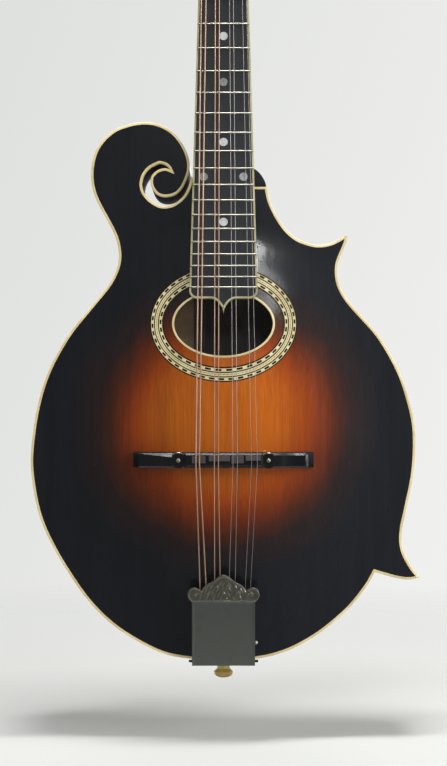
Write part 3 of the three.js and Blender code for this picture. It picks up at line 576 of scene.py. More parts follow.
def ivoroid(name="ivoroid", pale=(226, 210, 162), deep=(200, 178, 124)):
    f = material(name)
    grain = f.noise(f.stretched((40, 800, 40)), detail=3)
    cloud = f.noise(f.place, scale=60.0, detail=4)
    colour = f.mix(linear(*pale), linear(*deep), f.between(cloud, 0.35, 0.7))
    colour = f.mix(colour, linear(*deep), f.between(grain, 0.5, 0.75, 0.0, 0.35))
    return f.set(Base_Color=colour, Roughness=f.between(cloud, 0.3, 0.7, 0.26, 0.4),
                 Normal=f.bump(grain, 0.1, 0.02), IOR=1.5, Subsurface_Weight=0.12,
                 Subsurface_Scale=0.6 * MM, Subsurface_Radius=(1.0, 0.7, 0.4))


def ebony(name="ebony", tone=(19, 23, 27), rough=(0.34, 0.5), relief=0.15, gloss=0.5):
    f = material(name)
    pores = f.noise(f.stretched((1400, 1400, 60)), detail=4, roughness=0.65)
    streak = f.noise(f.stretched((120, 120, 8)))
    brown = linear(tone[0] + 8, tone[1] + 5, tone[2] + 3)
    colour = f.mix(linear(*tone), brown, f.between(streak, 0.5, 0.75))
    colour = f.mix(colour, (0.5, 0.5, 0.5), f.between(pores, 0.55, 0.7, 0.0, 0.7), "MULTIPLY")
    return f.set(Base_Color=colour, Roughness=f.between(pores, 0.3, 0.7, *rough),
                 Normal=f.bump(pores, relief, 0.04), IOR=1.45, Specular_IOR_Level=gloss)


def metal(name, tone, rough, tarnish=(90, 84, 70), amount=0.35, brushed=(300, 300, 20), depth=0.01):
    f = material(name)
    cloud = f.noise(f.place, scale=90.0, detail=6, roughness=0.65)
    scratch = f.noise(f.stretched(brushed), detail=4)
    colour = f.mix(linear(*tone), linear(*tarnish), f.between(cloud, 0.45, 0.8, 0.0, amount))
    return f.set(Base_Color=colour, Metallic=1.0, Roughness=f.between(cloud, 0.3, 0.7, *rough),
                 Normal=f.bump(scratch, 0.3, depth))


def wound_finish():
    """Bronze wire wound on a string, as fine ridges across it."""
    f = material("bronze_winding")
    wire = 0.28 * MM
    ridge = f.node("ShaderNodeTexWave", {"bands_direction": "Z"}, Vector=f.place, Scale=0.5 / (6.283 * wire))
    tarnish = f.noise(f.stretched((60, 60, 25)), detail=4)
    colour = f.mix(linear(194, 162, 140), linear(150, 120, 102), f.between(tarnish, 0.35, 0.75))
    return f.set(Base_Color=colour, Metallic=1.0, Roughness=0.34,
                 Normal=f.bump(ridge.outputs["Fac"], 0.6, 0.06))


def pearl(name, level):
    f = material(name)
    cells = f.noise(f.stretched((500, 500, 260)), detail=3)
    colour = f.ramp(f.between(cells, 0.3, 0.7), [(0.0, (level - 44, level - 32, level - 32)),
                                                 (0.5, (level, level + 4, level + 2)),
                                                 (1.0, (level - 28, level - 14, level - 6))])
    return f.set(Base_Color=colour, Roughness=0.22, IOR=1.6, Normal=f.bump(cells, 0.2, 0.03))


def bone():
    f = material("bone")
    grain = f.noise(f.stretched((900, 300, 300)), detail=3)
    colour = f.mix(linear(232, 224, 196), linear(204, 190, 150), f.between(grain, 0.4, 0.75))
    return f.set(Base_Color=colour, Roughness=0.35, Normal=f.bump(grain, 0.1, 0.02), Subsurface_Weight=0.1,
                 Subsurface_Scale=0.5 * MM)


def paper():
    f = material("old_paper")
    fibre = f.noise(f.place, scale=900.0, detail=5, roughness=0.7)
    stain = f.noise(f.place, scale=45.0, detail=3)
    colour = f.mix(linear(204, 176, 142), linear(150, 124, 98), f.between(stain, 0.3, 0.7))
    return f.set(Base_Color=colour, Roughness=0.9, Normal=f.bump(fibre, 0.3, 0.03))


TOP = top_finish()
BACK = back_finish()
SIDE = side_finish()
STAIN = ebony("black_stain", (24, 25, 28), (0.6, 0.7), gloss=0.25)
NECK_WOOD = side_finish("maple_neck", (34, 18, 15), (16, 13, 14))
INNER = bare_wood("bare_spruce", (122, 120, 119), (92, 90, 91))
IVOROID = ivoroid()
CREAM = ivoroid("cream_line", (226, 214, 168), (196, 182, 134))
ROPE = ivoroid("cream_rope", (206, 192, 146), (176, 160, 112))
BOARD_LINE = ivoroid("board_line", (186, 180, 142), (152, 144, 100))
AGED = ivoroid("aged_pin", (186, 164, 92), (142, 118, 56))
EBONY = ebony()
BLACK_LINE = ebony("black_line", (8, 8, 8), (0.4, 0.5), gloss=0.2)
BRIDGE = ebony("bridge_ebony", (15, 16, 18), (0.16, 0.24), 0.04)
FOOT = ebony("bridge_foot", (8, 9, 11), (0.4, 0.5), 0.1, 0.15)
# A lighter ebony for the saddle's steps: partly wear, partly a painted sheen where their slanted tops catch
# the light
WORN_SHEEN = ebony("worn_and_sheen_ebony", (62, 52, 51), (0.3, 0.4), 0.04)
HEAD_BLACK = ebony("head_black", (18, 18, 20), (0.14, 0.22))
NICKEL = metal("aged_nickel", (196, 194, 184), (0.2, 0.36))
COVER_METAL = metal("dull_nickel", (98, 102, 97), (0.42, 0.54), (82, 82, 72), 0.6, (400, 400, 60), 0.003)
CROWN_METAL = metal("crown_nickel", (120, 118, 107), (0.28, 0.38), (88, 86, 74), 0.6, (400, 400, 60), 0.003)
POST_METAL = metal("dull_brass", (150, 146, 122), (0.3, 0.42), (110, 100, 70), 0.4)
FRET_METAL = metal("nickel_silver", (156, 154, 142), (0.26, 0.4), (120, 112, 90), 0.3)
BRASS = metal("worn_brass", (196, 176, 120), (0.2, 0.36), (120, 96, 50), 0.5)
STEEL = metal("bright_steel", (162, 157, 152), (0.3, 0.36), (136, 130, 126), 0.3, (40, 40, 40), 0.001)
BRONZE = wound_finish()
PEARL = pearl("bright_pearl", 192)
DIM_PEARL = pearl("dim_pearl", 124)
BONE = bone()
PAPER = paper()


# The body

# The inner end of the scroll's channel, drawn to a tip where the CAD model is blunt
CHANNEL_TIP = (-34.2, 328.2)
CHANNEL_BLUNT = 9.0
CHANNEL_END = [(-41.0, 332.2), (-38.9, 331.9), (-36.9, 331.1), (-35.4, 329.9), CHANNEL_TIP,
               (-35.8, 329.0), (-37.8, 329.2), (-40.4, 328.7), (-43.0, 327.5)]
# Where the rim is stained black, round the channel
CHANNEL_CENTRE = (-36.5, 319.5)
CHANNEL_REACH = 17.5
CORNERS = [(27.8, 317.4), (79.3, 287.0), (125.5, 67.6), (96.8, 71.0), (-20.6, 324.3), (-14.0, 317.4),
           CHANNEL_TIP]
BINDING_ROUND = 0.5
# Spacing of the points inside each carved surface, and how far they stay off its edges
TOP_GRID = (3.2, 1.4)
UNDER_GRID = (8.0, 3.0)
BACK_GRID = (3.6, 1.4)


def arch(x, z):
    """How far the carved arch has risen at a place, from 0 to 1."""
    share = min(math.hypot(x / ARCH_HALF[0], (z - ARCH_CENTRE) / ARCH_HALF[1]), 1)
    return math.cos(math.pi / 2 * share ** ARCH_POWER) ** 2


def carved(facing, foot, rise):
    """The depth of a carved surface at a place, in front if facing is -1."""
    return lambda x, z: facing * (foot + rise * arch(x, z))


top_level = carved(-1, PLATE_FRONT, TOP_ARCH)
top_under = carved(-1, PLATE_BACK, TOP_ARCH - PLATE_SWELL)
back_level = carved(1, PLATE_FRONT, BACK_ARCH)
back_under = carved(1, PLATE_BACK, BACK_ARCH - PLATE_SWELL)


def pointed(loop):
    """The body's outline with the blunt end of the scroll's channel drawn to a tip."""
    blunt = [i for i, gap in enumerate(np.hypot(*(loop - CHANNEL_TIP).T)) if gap < CHANNEL_BLUNT]
    assert blunt[-1] - blunt[0] == len(blunt) - 1
    return np.vstack([loop[:blunt[0]], CHANNEL_END, loop[blunt[-1] + 1:]])


def body():
    outer = smooth(pointed(cap_outline("top_binding")), CORNERS)
    inner = inset(outer, EDGE_BINDING)
    for name, facing in (("top_binding", -1), ("back_binding", 1)):
        skin = Skin()
        rounded(skin, outer, [inner], facing * PLATE_FRONT, facing * RIM_HALF, -facing * BINDING_ROUND)
        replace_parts(skin.make(name + "_fine", IVOROID), name)

    skin = Skin()
    lining = inset(outer, RIM_WALL)
    sheet(skin, [outer, lining], -RIM_HALF)
    sheet(skin, [outer, lining], RIM_HALF, turned_over=True)
    curled = np.hypot(*(outer - CHANNEL_CENTRE).T) < CHANNEL_REACH
    wall(skin, outer, -RIM_HALF, RIM_HALF, curled.astype(int).tolist())
    wall(skin, lining, -RIM_HALF, RIM_HALF)
    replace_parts(skin.make("rim_fine", [SIDE, STAIN]), "side_rim")

    hole = ellipse(HOLE_HALF, 120)
    skin = Skin()
    for loops in ([inner, ellipse(ROSETTE_OUTER, 160)], [ellipse(ROSETTE_INNER, 160), hole]):
        sheet(skin, loops, top_level, TOP_GRID)
    sheet(skin, [inner, hole], top_under, UNDER_GRID, turned_over=True)
    wall(skin, inner, top_level, top_under)
    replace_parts(skin.make("top_fine", TOP, solid=False), "top_plate")

    skin = Skin()
    sheet(skin, [inner], back_level, BACK_GRID, turned_over=True)
    sheet(skin, [inner], back_under, BACK_GRID, kind=1)
    wall(skin, inner, back_level, back_under)
    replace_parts(skin.make("back_fine", [BACK, INNER], solid=False), "back_plate")


# Each look as the stretches of one repeat, with where each ends and its finish, and how far it leans
LOOKS = {"cream": ([(1.0, 0)], 0.0), "black": ([(1.0, 1)], 0.0), "checker": ([(0.56, 1), (1.0, 0)], 0.0),
         "rope": ([(0.5, 1), (1.0, 2)], 0.035)}
# The rosette's bands from its outer edge in: the share of its width where each ends, look and repeats
BANDS = [(0.085, "black", 80), (0.12, "cream", 80), (0.255, "checker", 46), (0.3, "cream", 80),
         (0.375, "black", 80), (0.47, "cream", 80), (0.51, "rope", 110), (0.59, "cream", 80),
         (0.67, "black", 80), (0.72, "cream", 80), (0.86, "checker", 37), (0.9, "cream", 80),
         (1.0, "black", 80)]
# The soundhole's binding in section: how far the hole grows, and the depth behind the top's surface
HOLE_SECTION = [(0.0, 5.0), (0.0, 0.15), (-0.25, -0.1), (-0.8, -0.18), (-1.4, -0.1), (-HOLE_BINDING, 0.15),
                (-HOLE_BINDING, 5.0), (0.0, 5.0)]


def rosette():
    skin = Skin()

    def row(share, turns):
        half = [outer + (inner - outer) * share for outer, inner in zip(ROSETTE_OUTER, ROSETTE_INNER)]
        return lift([(half[0] * math.cos(t), HOLE_CENTRE + half[1] * math.sin(t)) for t in turns], top_level)

    low = 0.0
    for high, look, count in BANDS:
        stretches, lean = LOOKS[look]
        for k in range(count):
            start = 0.0
            for end, kind in stretches:
                turns = np.linspace(k + start, k + end, 5) / count * 2 * math.pi
                skin.strip(row(low, turns), row(high, turns + lean), False, kind)
                start = end
        low = high
    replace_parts(skin.make("rosette_fine", [CREAM, BLACK_LINE, ROPE], solid=False), "rosette")

    skin = Skin()
    skin.loft([lift(ellipse(HOLE_HALF, 140, grow=grow), lambda x, z: top_level(x, z) + depth)
               for grow, depth in HOLE_SECTION], capped=False)
    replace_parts(skin.make("hole_binding_fine", IVOROID), "soundhole_binding")


LABEL_ACROSS = (-66, -20)
LABEL_UP = (198, 262)
LABEL_GAP = 0.25


def label():
    """A blank paper label on the inside of the back, seen through the soundhole."""
    skin = Skin()
    rows = [lift([(x, z) for x in np.linspace(*LABEL_ACROSS, 24)], lambda x, z: back_under(x, z) - LABEL_GAP)
            for z in np.linspace(*LABEL_UP, 24)]
    for a, b in zip(rows, rows[1:]):
        skin.strip(a, b, False)
    skin.make("paper_label", PAPER, solid=False)


def inside():
    for node in ("head_block", "tail_block", "top_lining", "back_lining", "tone_brace"):
        paint(node, INNER)


# The fingerboard

# How far the board's own wood stops short of the nut
BOARD_GAP = 0.01
BINDING_PROUD = 0.05
FRET_HEIGHT = 0.95
FRET_HALF = 0.62
FRET_INSET = 0.25
# How far each ring of a fret lies from its end, and its share of the full section
FRET_ENDS = [(0.0, 0.3), (0.35, 0.85), (0.9, 1.0)]
DOT_RADIUS = 2.65
DOT_PROUD = 0.03
DOT_DEPTH = 0.6
# Each dot's fret, place across and shell
DOTS = [(5, 0, PEARL), (7, 0, DIM_PEARL), (10, 0, PEARL), (12, -12.6, DIM_PEARL), (12, 12.6, DIM_PEARL),
        (15, 0, PEARL)]
NUT_LIFT = 1.4
NUT_ROUND = 1.2


def fret_along(number):
    """How far a fret lies from the nut."""
    return SCALE * (1 - 2 ** (-number / 12))


BOARD_LENGTH = fret_along(FRETS) + BOARD_END


def board_half(along):
    return (NUT_WIDTH + BOARD_FLARE * along) / 2


def board_outline():
    """The fingerboard's outline in the neck's frame, with round corners and a drawn tip at its foot."""
    foot = SCALE - BOARD_LENGTH
    half = board_half(BOARD_LENGTH)
    side = [(board_half(SCALE - z), z) for z in np.linspace(SCALE, foot + BOARD_CORNER, 60)]
    side += [(half - BOARD_CORNER * (1 - math.cos(t)), foot + BOARD_CORNER * (1 - math.sin(t)))
             for t in np.linspace(0, math.pi / 2, 14)[1:]]
    a, b = np.array((BOARD_TIP[0], foot)), np.array((BOARD_TIP[0] / 2, foot))
    c, d = np.array((0.0, foot - BOARD_TIP[1] / 2)), np.array((0.0, foot - BOARD_TIP[1]))
    t = np.linspace(0, 1, 16)[:, None]
    tip = (1 - t) ** 3 * a + 3 * (1 - t) ** 2 * t * b + 3 * (1 - t) * t * t * c + t ** 3 * d
    side = np.vstack([side, tip])
    return counter_clockwise(np.vstack([side, side[-2::-1] * (-1, 1)]))


def fingerboard():
    outline = board_outline()
    top = SCALE - BOARD_GAP
    middle = inset(outline, BOARD_BINDING, 4.0)
    middle = middle[middle[:, 1] < top - BOARD_BINDING]
    half = board_half(0) - BOARD_BINDING
    middle = counter_clockwise(np.vstack([middle, [(half, top), (-half, top)]]))
    skin = Skin()
    slab(skin, [middle], 0.0, BOARD_THICKNESS)
    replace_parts(skin.make("board_fine", EBONY, NECK), "fingerboard")
    skin = Skin()
    slab(skin, [outline, middle], -BINDING_PROUD, BOARD_THICKNESS)
    binding = skin.make("board_binding", BOARD_LINE, NECK)
    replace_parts(binding, "fingerboard_binding_and_frets")
    frets()
    dots()
    nut()


def frets():
    for number in range(1, FRETS + 1):
        along = fret_along(number)
        half = board_half(along) - FRET_INSET
        ends = [(x - half, size) for x, size in FRET_ENDS] + [(half - x, size) for x, size in FRET_ENDS[::-1]]
        skin = Skin()
        skin.loft([[(x, -FRET_HEIGHT * size * math.sin(t), SCALE - along + FRET_HALF * size * math.cos(t))
                    for t in arc(math.pi, 8)] for x, size in ends])
        skin.make(f"fret_{number}", FRET_METAL, NECK)


def dots():
    for index, (number, x, shell) in enumerate(DOTS, 1):
        middle = (fret_along(number - 1) + fret_along(number)) / 2
        skin = Skin()
        slab(skin, [ellipse((DOT_RADIUS, DOT_RADIUS), 32, SCALE - middle) + (x, 0)], -DOT_PROUD, DOT_DEPTH)
        skin.make(f"position_dot_{index}", shell, NECK)


def nut():
    skin = Skin()
    end = SCALE + NUT_LENGTH
    section = [(BOARD_THICKNESS, SCALE), (-NUT_LIFT, SCALE)]
    section += [(-NUT_LIFT + NUT_ROUND * (1 - math.cos(t)), end - NUT_ROUND * (1 - math.sin(t)))
                for t in arc(math.pi / 2, 6)]
    bar(skin, section + [(BOARD_THICKNESS, end)], -NUT_WIDTH / 2, NUT_WIDTH / 2)
    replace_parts(bevelled(skin.make("nut_fine", BONE, NECK), 0.3), "nut")


# The neck and the headstock

# Depth of the neck behind the fingerboard at heights above its joint with the body
NECK_DEPTHS = [(0, 55), (5, 48), (12, 38), (22, 27), (34, 20), (50, 16.8), (80, 15.4), (125, 14),
               (175.5, 12.8)]
# Heights above the last of them, and how far the neck's front drops back there
NECK_END = [(2, 0.6), (4, 1.2), (6, 1.8), (8, 2.2)]
NECK_SWELL = 1.2
RISER_HALF = 18.5
RISER_FOOT = 254
# The heel's rounded cheek above the joint, from its widest point up
CHEEK = [(27.4, 0.0), (26.8, 2.4), (25.2, 5.6), (23.0, 8.6), (19.8, 11.2), (16.5, 12.0)]
CHEEK_BACK = 18.0
HEAD_CORNERS = [(33.0, 123.3), (32.3, 158.8), (-23.8, 124.1), (14.9, 1.2), (-14.9, 1.2)]
HEAD_BINDING = 1.5
VENEER = 1.8


def board_under(height):
    run = (height - SADDLE_HEIGHT) * math.tan(NECK_PITCH)
    return BOARD_AT_SADDLE + run + BOARD_THICKNESS / math.cos(NECK_PITCH)


def neck_row(height, depth, drop=0.0):
    half = board_half(SCALE - (height - SADDLE_HEIGHT) / math.cos(NECK_PITCH)) - 0.1
    front = board_under(height) + drop
    return [(half * math.cos(t), front + (depth - drop) * math.sin(t) ** 0.85, height)
            for t in arc(math.pi, 28)]


def neck():
    skin = Skin()
    end, depth_there = NECK_DEPTHS[-1]
    rows = [neck_row(NECK_JOINT + rise, depth) for rise, depth in curve(NECK_DEPTHS, 1.5) if rise <= end]
    rows += [neck_row(NECK_JOINT + end + rise, depth_there + NECK_SWELL * math.sin(rise / 9 * math.pi), drop)
             for rise, drop in NECK_END]
    skin.loft(rows)
    bar(skin, [(board_under(RISER_FOOT), RISER_FOOT), (board_under(NECK_JOINT), NECK_JOINT),
               (-PLATE_BACK, NECK_JOINT), (-PLATE_BACK, RISER_FOOT)], -RISER_HALF, RISER_HALF)
    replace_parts(skin.make("neck_fine", NECK_WOOD), "neck")

    joint = (0.0, NECK_JOINT + CLEARANCE)
    cheek = np.vstack([[(0.0, 0.0)], curve(CHEEK, 1.0), [(0.0, CHEEK[-1][1])]]) + joint
    skin = Skin()
    rounded(skin, counter_clockwise(cheek), [], -PLATE_FRONT, CHEEK_BACK, 0.6, both=True)
    skin.make("heel_cheek", STAIN)


def headstock():
    outline = smooth(cap_outline("headstock_veneer", HEAD), HEAD_CORNERS)
    edge = inset(outline, HEAD_BINDING)
    behind = HEAD_FRONT + VENEER
    skin = Skin()
    rounded(skin, outline, [], HEAD_BACK, behind, -0.9)
    skin.make("headstock_wood", NECK_WOOD, HEAD)
    skin = Skin()
    slab(skin, [edge], HEAD_FRONT, behind)
    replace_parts(skin.make("headstock_face", HEAD_BLACK, HEAD), "headstock_veneer")
    skin = Skin()
    rounded(skin, outline, [edge], HEAD_FRONT - 0.02, behind, 0.3)
    skin.make("headstock_binding", IVOROID, HEAD)


# The tuners

PLATE_ACROSS = (12.6, 25.0)
PLATE_THICKNESS = 1.2
PLATE_END = 9
PLATE_SCREW = [(1.9, -0.1), (1.9, 0.25), (1.4, 0.6), (0.6, 0.8), (0.0, 0.85)]
SCREW_FROM_END = 4
SCREW_UNDER_POST = 2.5
# The ears that carry a worm's shaft: distance to either side of the worm, thickness and half height
EAR_OFFSET = 4.0
EAR_THICKNESS = 1.4
EAR_HALF = 1.8
GEAR_TEETH = 14
GEAR_HALF = 1.2
GEAR_RADIUS = 4.2
# A tooth's outline as radius and length round the gear
TOOTH = [(3.4, -0.52), (4.3, -0.4), (4.8, -0.24), (4.8, 0.24), (4.3, 0.4), (3.4, 0.52)]
GEAR_SCREW = [(1.7, -0.1), (1.7, 0.3), (1.2, 0.6), (0.0, 0.7)]
# The post as radius and distance behind its front
POST = [(0.0, 0), (2.4, 0), (2.9, 0.6), (2.9, 3), (2.6, 4), (2.6, 9), (2.95, 10)]
FERRULE = [(3.15, 0.5), (5.2, 0.5), (5.2, -0.3), (4.6, -0.8), (3.6, -0.9), (3.15, -0.7)]
WORM_LEAD = 0.6 * math.pi
# The worm's thread as radius and length along it
THREAD = [(0.65, -0.42), (2.2, -0.18), (2.3, 0.0), (2.2, 0.18), (0.65, 0.42)]
SHAFT_RADIUS = 0.95
SHAFT_ENDS = (-5.2, 17.0)
BUTTON_START = 17.3
BUTTON = [(0.0, 0.0), (1.7, 0.0), (2.0, 0.5), (1.9, 1.2), (2.3, 1.9), (4.0, 3.0), (5.5, 4.6), (6.2, 6.4),
          (6.35, 7.8), (6.0, 9.4), (5.0, 10.8), (3.4, 11.7), (1.6, 12.0), (0.0, 12.0)]


def tuners():
    for side, name in ((-1, "bass"), (1, "treble")):
        tuner_plate(side, name)
        for number, height in enumerate(TUNER_HEIGHTS, 1):
            post(side, height, f"{name}_{number}")
            worm(side, height, f"{name}_{number}")


def tuner_plate(side, name):
    low, high = HEAD_BACK + CLEARANCE, HEAD_BACK + CLEARANCE + PLATE_THICKNESS
    bottom, top = TUNER_HEIGHTS[0] - PLATE_END, TUNER_HEIGHTS[-1] + WORM_DISTANCE + PLATE_END
    middle, half = sum(PLATE_ACROSS) / 2, (PLATE_ACROSS[1] - PLATE_ACROSS[0]) / 2
    ends = [(middle + way * half * math.cos(t), end - way * half * (1 - math.sin(t)))
            for way, end in ((1, top), (-1, bottom)) for t in arc(math.pi, 16)]
    skin = Skin()
    rounded(skin, counter_clockwise(np.array(ends) * (side, 1)), [], high, low, -0.3)
    for z in (height + WORM_DISTANCE for height in TUNER_HEIGHTS):
        section = [(GEAR_PLANE + 0.4 + 1.7 * math.sin(t), z - EAR_HALF * math.cos(t))
                   for t in arc(math.pi, 10)]
        section = [(high - 0.2, z - EAR_HALF), *section, (high - 0.2, z + EAR_HALF)]
        for way in (-1, 1):
            x = side * TUNER_OFFSET + way * EAR_OFFSET
            bar(skin, section, x - EAR_THICKNESS / 2, x + EAR_THICKNESS / 2)
    between = [height - SCREW_UNDER_POST for height in TUNER_HEIGHTS[1:]]
    for z in [bottom + SCREW_FROM_END, *between, top - SCREW_FROM_END]:
        turned(skin, PLATE_SCREW, 20, Matrix.Translation((side * middle, high, z)) @ BACKWARDS)
    piece = skin.make(f"tuner_plate_{name}_fine", NICKEL, HEAD)
    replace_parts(piece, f"tuner_plate_{name}")


def post(side, height, name):
    """A string post with its gear, and the ferrule that it turns in."""
    x = side * TUNER_OFFSET
    at = Matrix.Translation((x, 0, height)) @ BACKWARDS
    end = GEAR_PLANE + GEAR_HALF
    skin = Skin()
    turned(skin, [(r, POST_FRONT + d) for r, d in POST] + [(POST[-1][0], end), (0.0, end)], 28, at)
    rim = [(r, math.pi / 2 + (k + 0.5) / GEAR_TEETH * 2 * math.pi + along / r)
           for k in range(GEAR_TEETH) for r, along in TOOTH]
    lean = WORM_LEAD / (2 * math.pi * (WORM_DISTANCE - GEAR_RADIUS)) / GEAR_RADIUS
    skin.loft([[(x + r * math.cos(t - lean * d), GEAR_PLANE + d, height + r * math.sin(t - lean * d))
                for r, t in rim] for d in np.linspace(-GEAR_HALF, GEAR_HALF, 7)])
    turned(skin, [(r, end + d) for r, d in GEAR_SCREW], 20, at)
    piece = skin.make(f"post_{name}_fine", BRASS, HEAD, f"string_post_{name}_body", 40)
    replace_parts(piece, f"string_post_{name}")
    skin = Skin()
    turned(skin, [(r, HEAD_FRONT + d) for r, d in FERRULE], 32, at)
    skin.make(f"ferrule_{name}", NICKEL, HEAD)


def worm(side, height, name):
    """A worm on its shaft, and the button on the shaft's end."""
    x, z = side * TUNER_OFFSET, height + WORM_DISTANCE
    body = f"tuner_button_{name}_body"
    skin = Skin()
    ends = sorted(x + side * end for end in SHAFT_ENDS)
    tube(skin, [(end, GEAR_PLANE, z) for end in ends], SHAFT_RADIUS, 20)
    rows = []
    for turn in np.linspace(-1, 1, 49):
        angle = turn * 2 * math.pi - math.pi / 2
        rows.append([(x + turn * WORM_LEAD + along, GEAR_PLANE + r * math.cos(angle), z + r * math.sin(angle))
                     for r, along in THREAD])
    skin.loft(rows)
    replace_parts(skin.make(f"worm_{name}_fine", NICKEL, HEAD, body, 50), f"tuner_worm_{name}")

    skin = Skin()
    outwards = Matrix.Rotation(side * math.pi / 2, 4, "Y")
    at = Matrix.Translation((x + side * BUTTON_START, GEAR_PLANE, z)) @ outwards
    turned(skin, curve(BUTTON, 0.5), 36, at, squash=0.6)
    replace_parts(skin.make(f"button_{name}_fine", IVOROID, HEAD, body, 60), f"tuner_button_{name}")


# The bridge

BRIDGE_HALF = 4.85
BASE_ROUND = 1.3
BASE_TURNS = (0.0, 0.4, 0.8, 1.2, math.pi / 2)
# The base's top at places across, from the middle out
BASE_TOPS = [(0, -41.2), (15, -41.4), (19, -42.6), (21.7, -43.2), (34, -43.2), (37, -42.6), (42, -41.0),
             (50, -38.8), (57, -36.8)]
SADDLE_FOOT = -47.5
# Where the saddle's top counts as its ridge, and the chamfer along its lower edge
RIDGE_START = -49.9
SADDLE_EDGE = 1.1
# The saddle's top and the chamfer along its upper edge, at places across
SADDLE_TOPS = [(-53, -48.4, 0.4), (-50, -49.0, 0.5), (-46, -48.9, 0.9), (-38, -49.0, 1.9), (-32, -49.6, 2.6),
               (-24.6, -49.8, 1.0), (-23.6, -52.0, 1.0), (23.6, -52.0, 1.0), (24.6, -49.8, 1.0),
               (33.5, -49.9, 1.2), (36.5, -49.5, 1.3), (40, -48.7, 1.3), (44, -48.4, 1.3), (51.4, -49.3, 1.2),
               (53, -48.5, 0.9)]
# The steps above the ridge, worn and painted lighter as a painted sheen: both ends, and how far up each
# starts
WORN_SHEEN_STEPS = [(-19.6, -11.2, 0.0), (-9.1, 3.9, 1.3), (4.7, 12.6, 0.0), (13.9, 23.2, 1.7)]
# Round parts as radius and distance in front of the middle plane
SADDLE_BOSS = [(0.0, 49.3), (4.9, 49.3), (4.9, 50.1), (4.7, 50.35), (4.3, 50.35), (4.1, 50.1), (2.0, 50.1),
               (1.75, 49.9), (0.0, 49.9)]
STUD = [(0.0, 40.0), (1.6, 40.0), (1.6, 49.8), (1.25, 49.9)]
STUD_TIP = [(1.25 * math.cos(t), 50.3 + 0.5 * math.sin(t)) for t in (0.0, 0.3, 0.6, 0.9, 1.2)] + [(0.0, 50.8)]
WHEEL = [(1.9, 45.4), (4.7, 45.4), (5.0, 45.7), (5.0, 46.9), (4.7, 47.2), (1.9, 47.2), (1.9, 45.4)]
KNURLS = 48
KNURL_DEPTH = 0.12
KNURLED_FROM = 4.9


def base_row(x, top):
    """The base's cross-section, which stands on the arched top."""
    tail, head = BRIDGE_HEIGHT - BRIDGE_HALF, BRIDGE_HEIGHT + BRIDGE_HALF
    row = [(top_level(x, tail) - 0.02, tail)]
    row += [(top + BASE_ROUND * (1 - math.sin(t)), tail + BASE_ROUND * (1 - math.cos(t))) for t in BASE_TURNS]
    row += [(top + BASE_ROUND * (1 - math.cos(t)), head - BASE_ROUND * (1 - math.sin(t))) for t in BASE_TURNS]
    return [(x, y, z) for y, z in row + [(top_level(x, head) - 0.02, head)]]


def saddle_row(x, top, chamfer, low, high):
    """The saddle's cross-section: a bar with chamfers, and a ridge with a sloping front between the posts."""
    ridge = min(1.0, max(0.0, (RIDGE_START - top) / 2.4))
    near = low + SADDLE_EDGE + ridge * (SADDLE_HEIGHT - 0.6 - low - SADDLE_EDGE)
    section = [(SADDLE_FOOT, low), (top + SADDLE_EDGE + ridge * 1.2, low), (top, near), (top, high - chamfer),
               (top + 0.8 * chamfer, high), (SADDLE_FOOT, high)]
    return [(x, y, z) for y, z in section]


def bridge():
    skin = Skin()
    tops = [(-x, top) for x, top in BASE_TOPS[:0:-1]] + BASE_TOPS
    skin.loft([base_row(x, top) for x, top in curve(tops, 1.5)])
    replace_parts(skin.make("bridge_base_fine", FOOT), "bridge_base")

    skin = Skin()
    rows = []
    low, high = BRIDGE_HEIGHT - BRIDGE_HALF + 0.3, BRIDGE_HEIGHT + BRIDGE_HALF - 0.3
    stations = np.array(SADDLE_TOPS)
    for here, following in zip(stations, stations[1:]):
        count = max(1, round((following[0] - here[0]) / 1.5))
        rows += [saddle_row(*(here + (following - here) * k / count), low, high) for k in range(count)]
    skin.loft(rows + [saddle_row(*stations[-1], low, high)])
    # The steps take the lighter ebony: wear and a painted sheen
    for left, right, up in WORN_SHEEN_STEPS:
        start = SADDLE_HEIGHT + 0.5 + up
        section = [(-49.4, start - 0.5), (-52.5, start), (-52.05, high - 1.3), (-49.4, high - 1.3)]
        bar(skin, section, left, right, 1)
    places = {name: Matrix.Translation((side * BRIDGE_POSTS, 0, BRIDGE_HEIGHT)) @ FORWARDS
              for side, name in ((-1, "bass"), (1, "treble"))}
    for at in places.values():
        turned(skin, SADDLE_BOSS, 40, at)
    saddle = skin.make("bridge_saddle_fine", [BRIDGE, WORN_SHEEN], body="bridge_saddle_body")
    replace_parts(bevelled(saddle, 0.12), "bridge_saddle")

    for name, at in places.items():
        skin = Skin()
        turned(skin, STUD + STUD_TIP, 24, at)
        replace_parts(skin.make(f"bridge_post_{name}_fine", POST_METAL), f"bridge_post_{name}")
        skin = Skin()
        rows = []
        for radius, height in WHEEL:
            cut = KNURL_DEPTH if radius > KNURLED_FROM else 0.0
            radii = [radius - cut * (k % 2) for k in range(2 * KNURLS)]
            rows.append([at @ Vector((r * math.cos(t), r * math.sin(t), height))
                         for r, t in zip(radii, circle(2 * KNURLS))])
        skin.loft(rows, capped=False)
        wheel = skin.make(f"thumbwheel_{name}_fine", NICKEL, body=f"thumbwheel_{name}_body")
        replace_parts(wheel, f"thumbwheel_{name}")


# The tailpiece and the end pin

COVER_HALF = 19.9
COVER_CORNERS = [(side * x, z) for side in (-1, 1)
                 for x, z in ((COVER_HALF, 0.0), (COVER_HALF, 40.8), (14.2, 47.8))]
COVER_FRONT = 0.75
COVER_BACK = 1.05
# Height of the ridge below the crown, and the half width of the bead along the sides
RIDGE = 41.0
BEAD = 0.45
# Spacing of the points inside the crown and the plate, and how far they stay off the edge
CROWN_GRID = (0.36, 0.25)
PLATE_GRID = (0.9, 1.4)
# The crown's scrolls as centre and radius, and where its veins spread from
SCROLLS = [(17.2, 45.4, 3.4), (9.4, 45.8, 3.4), (3.4, 50.6, 3.2)]
VEIN_CENTRE = (-9.0, 38.0)
# The cover's side walls as thickness, front, back and top, and the pins and the screw in them
SIDE_WALL = (1.0, 0.4, 8.0, 40.6)
SIDE_PIN = (4.2, 2.2)
SIDE_SCREW = (20.6, 3.0, 14.4)
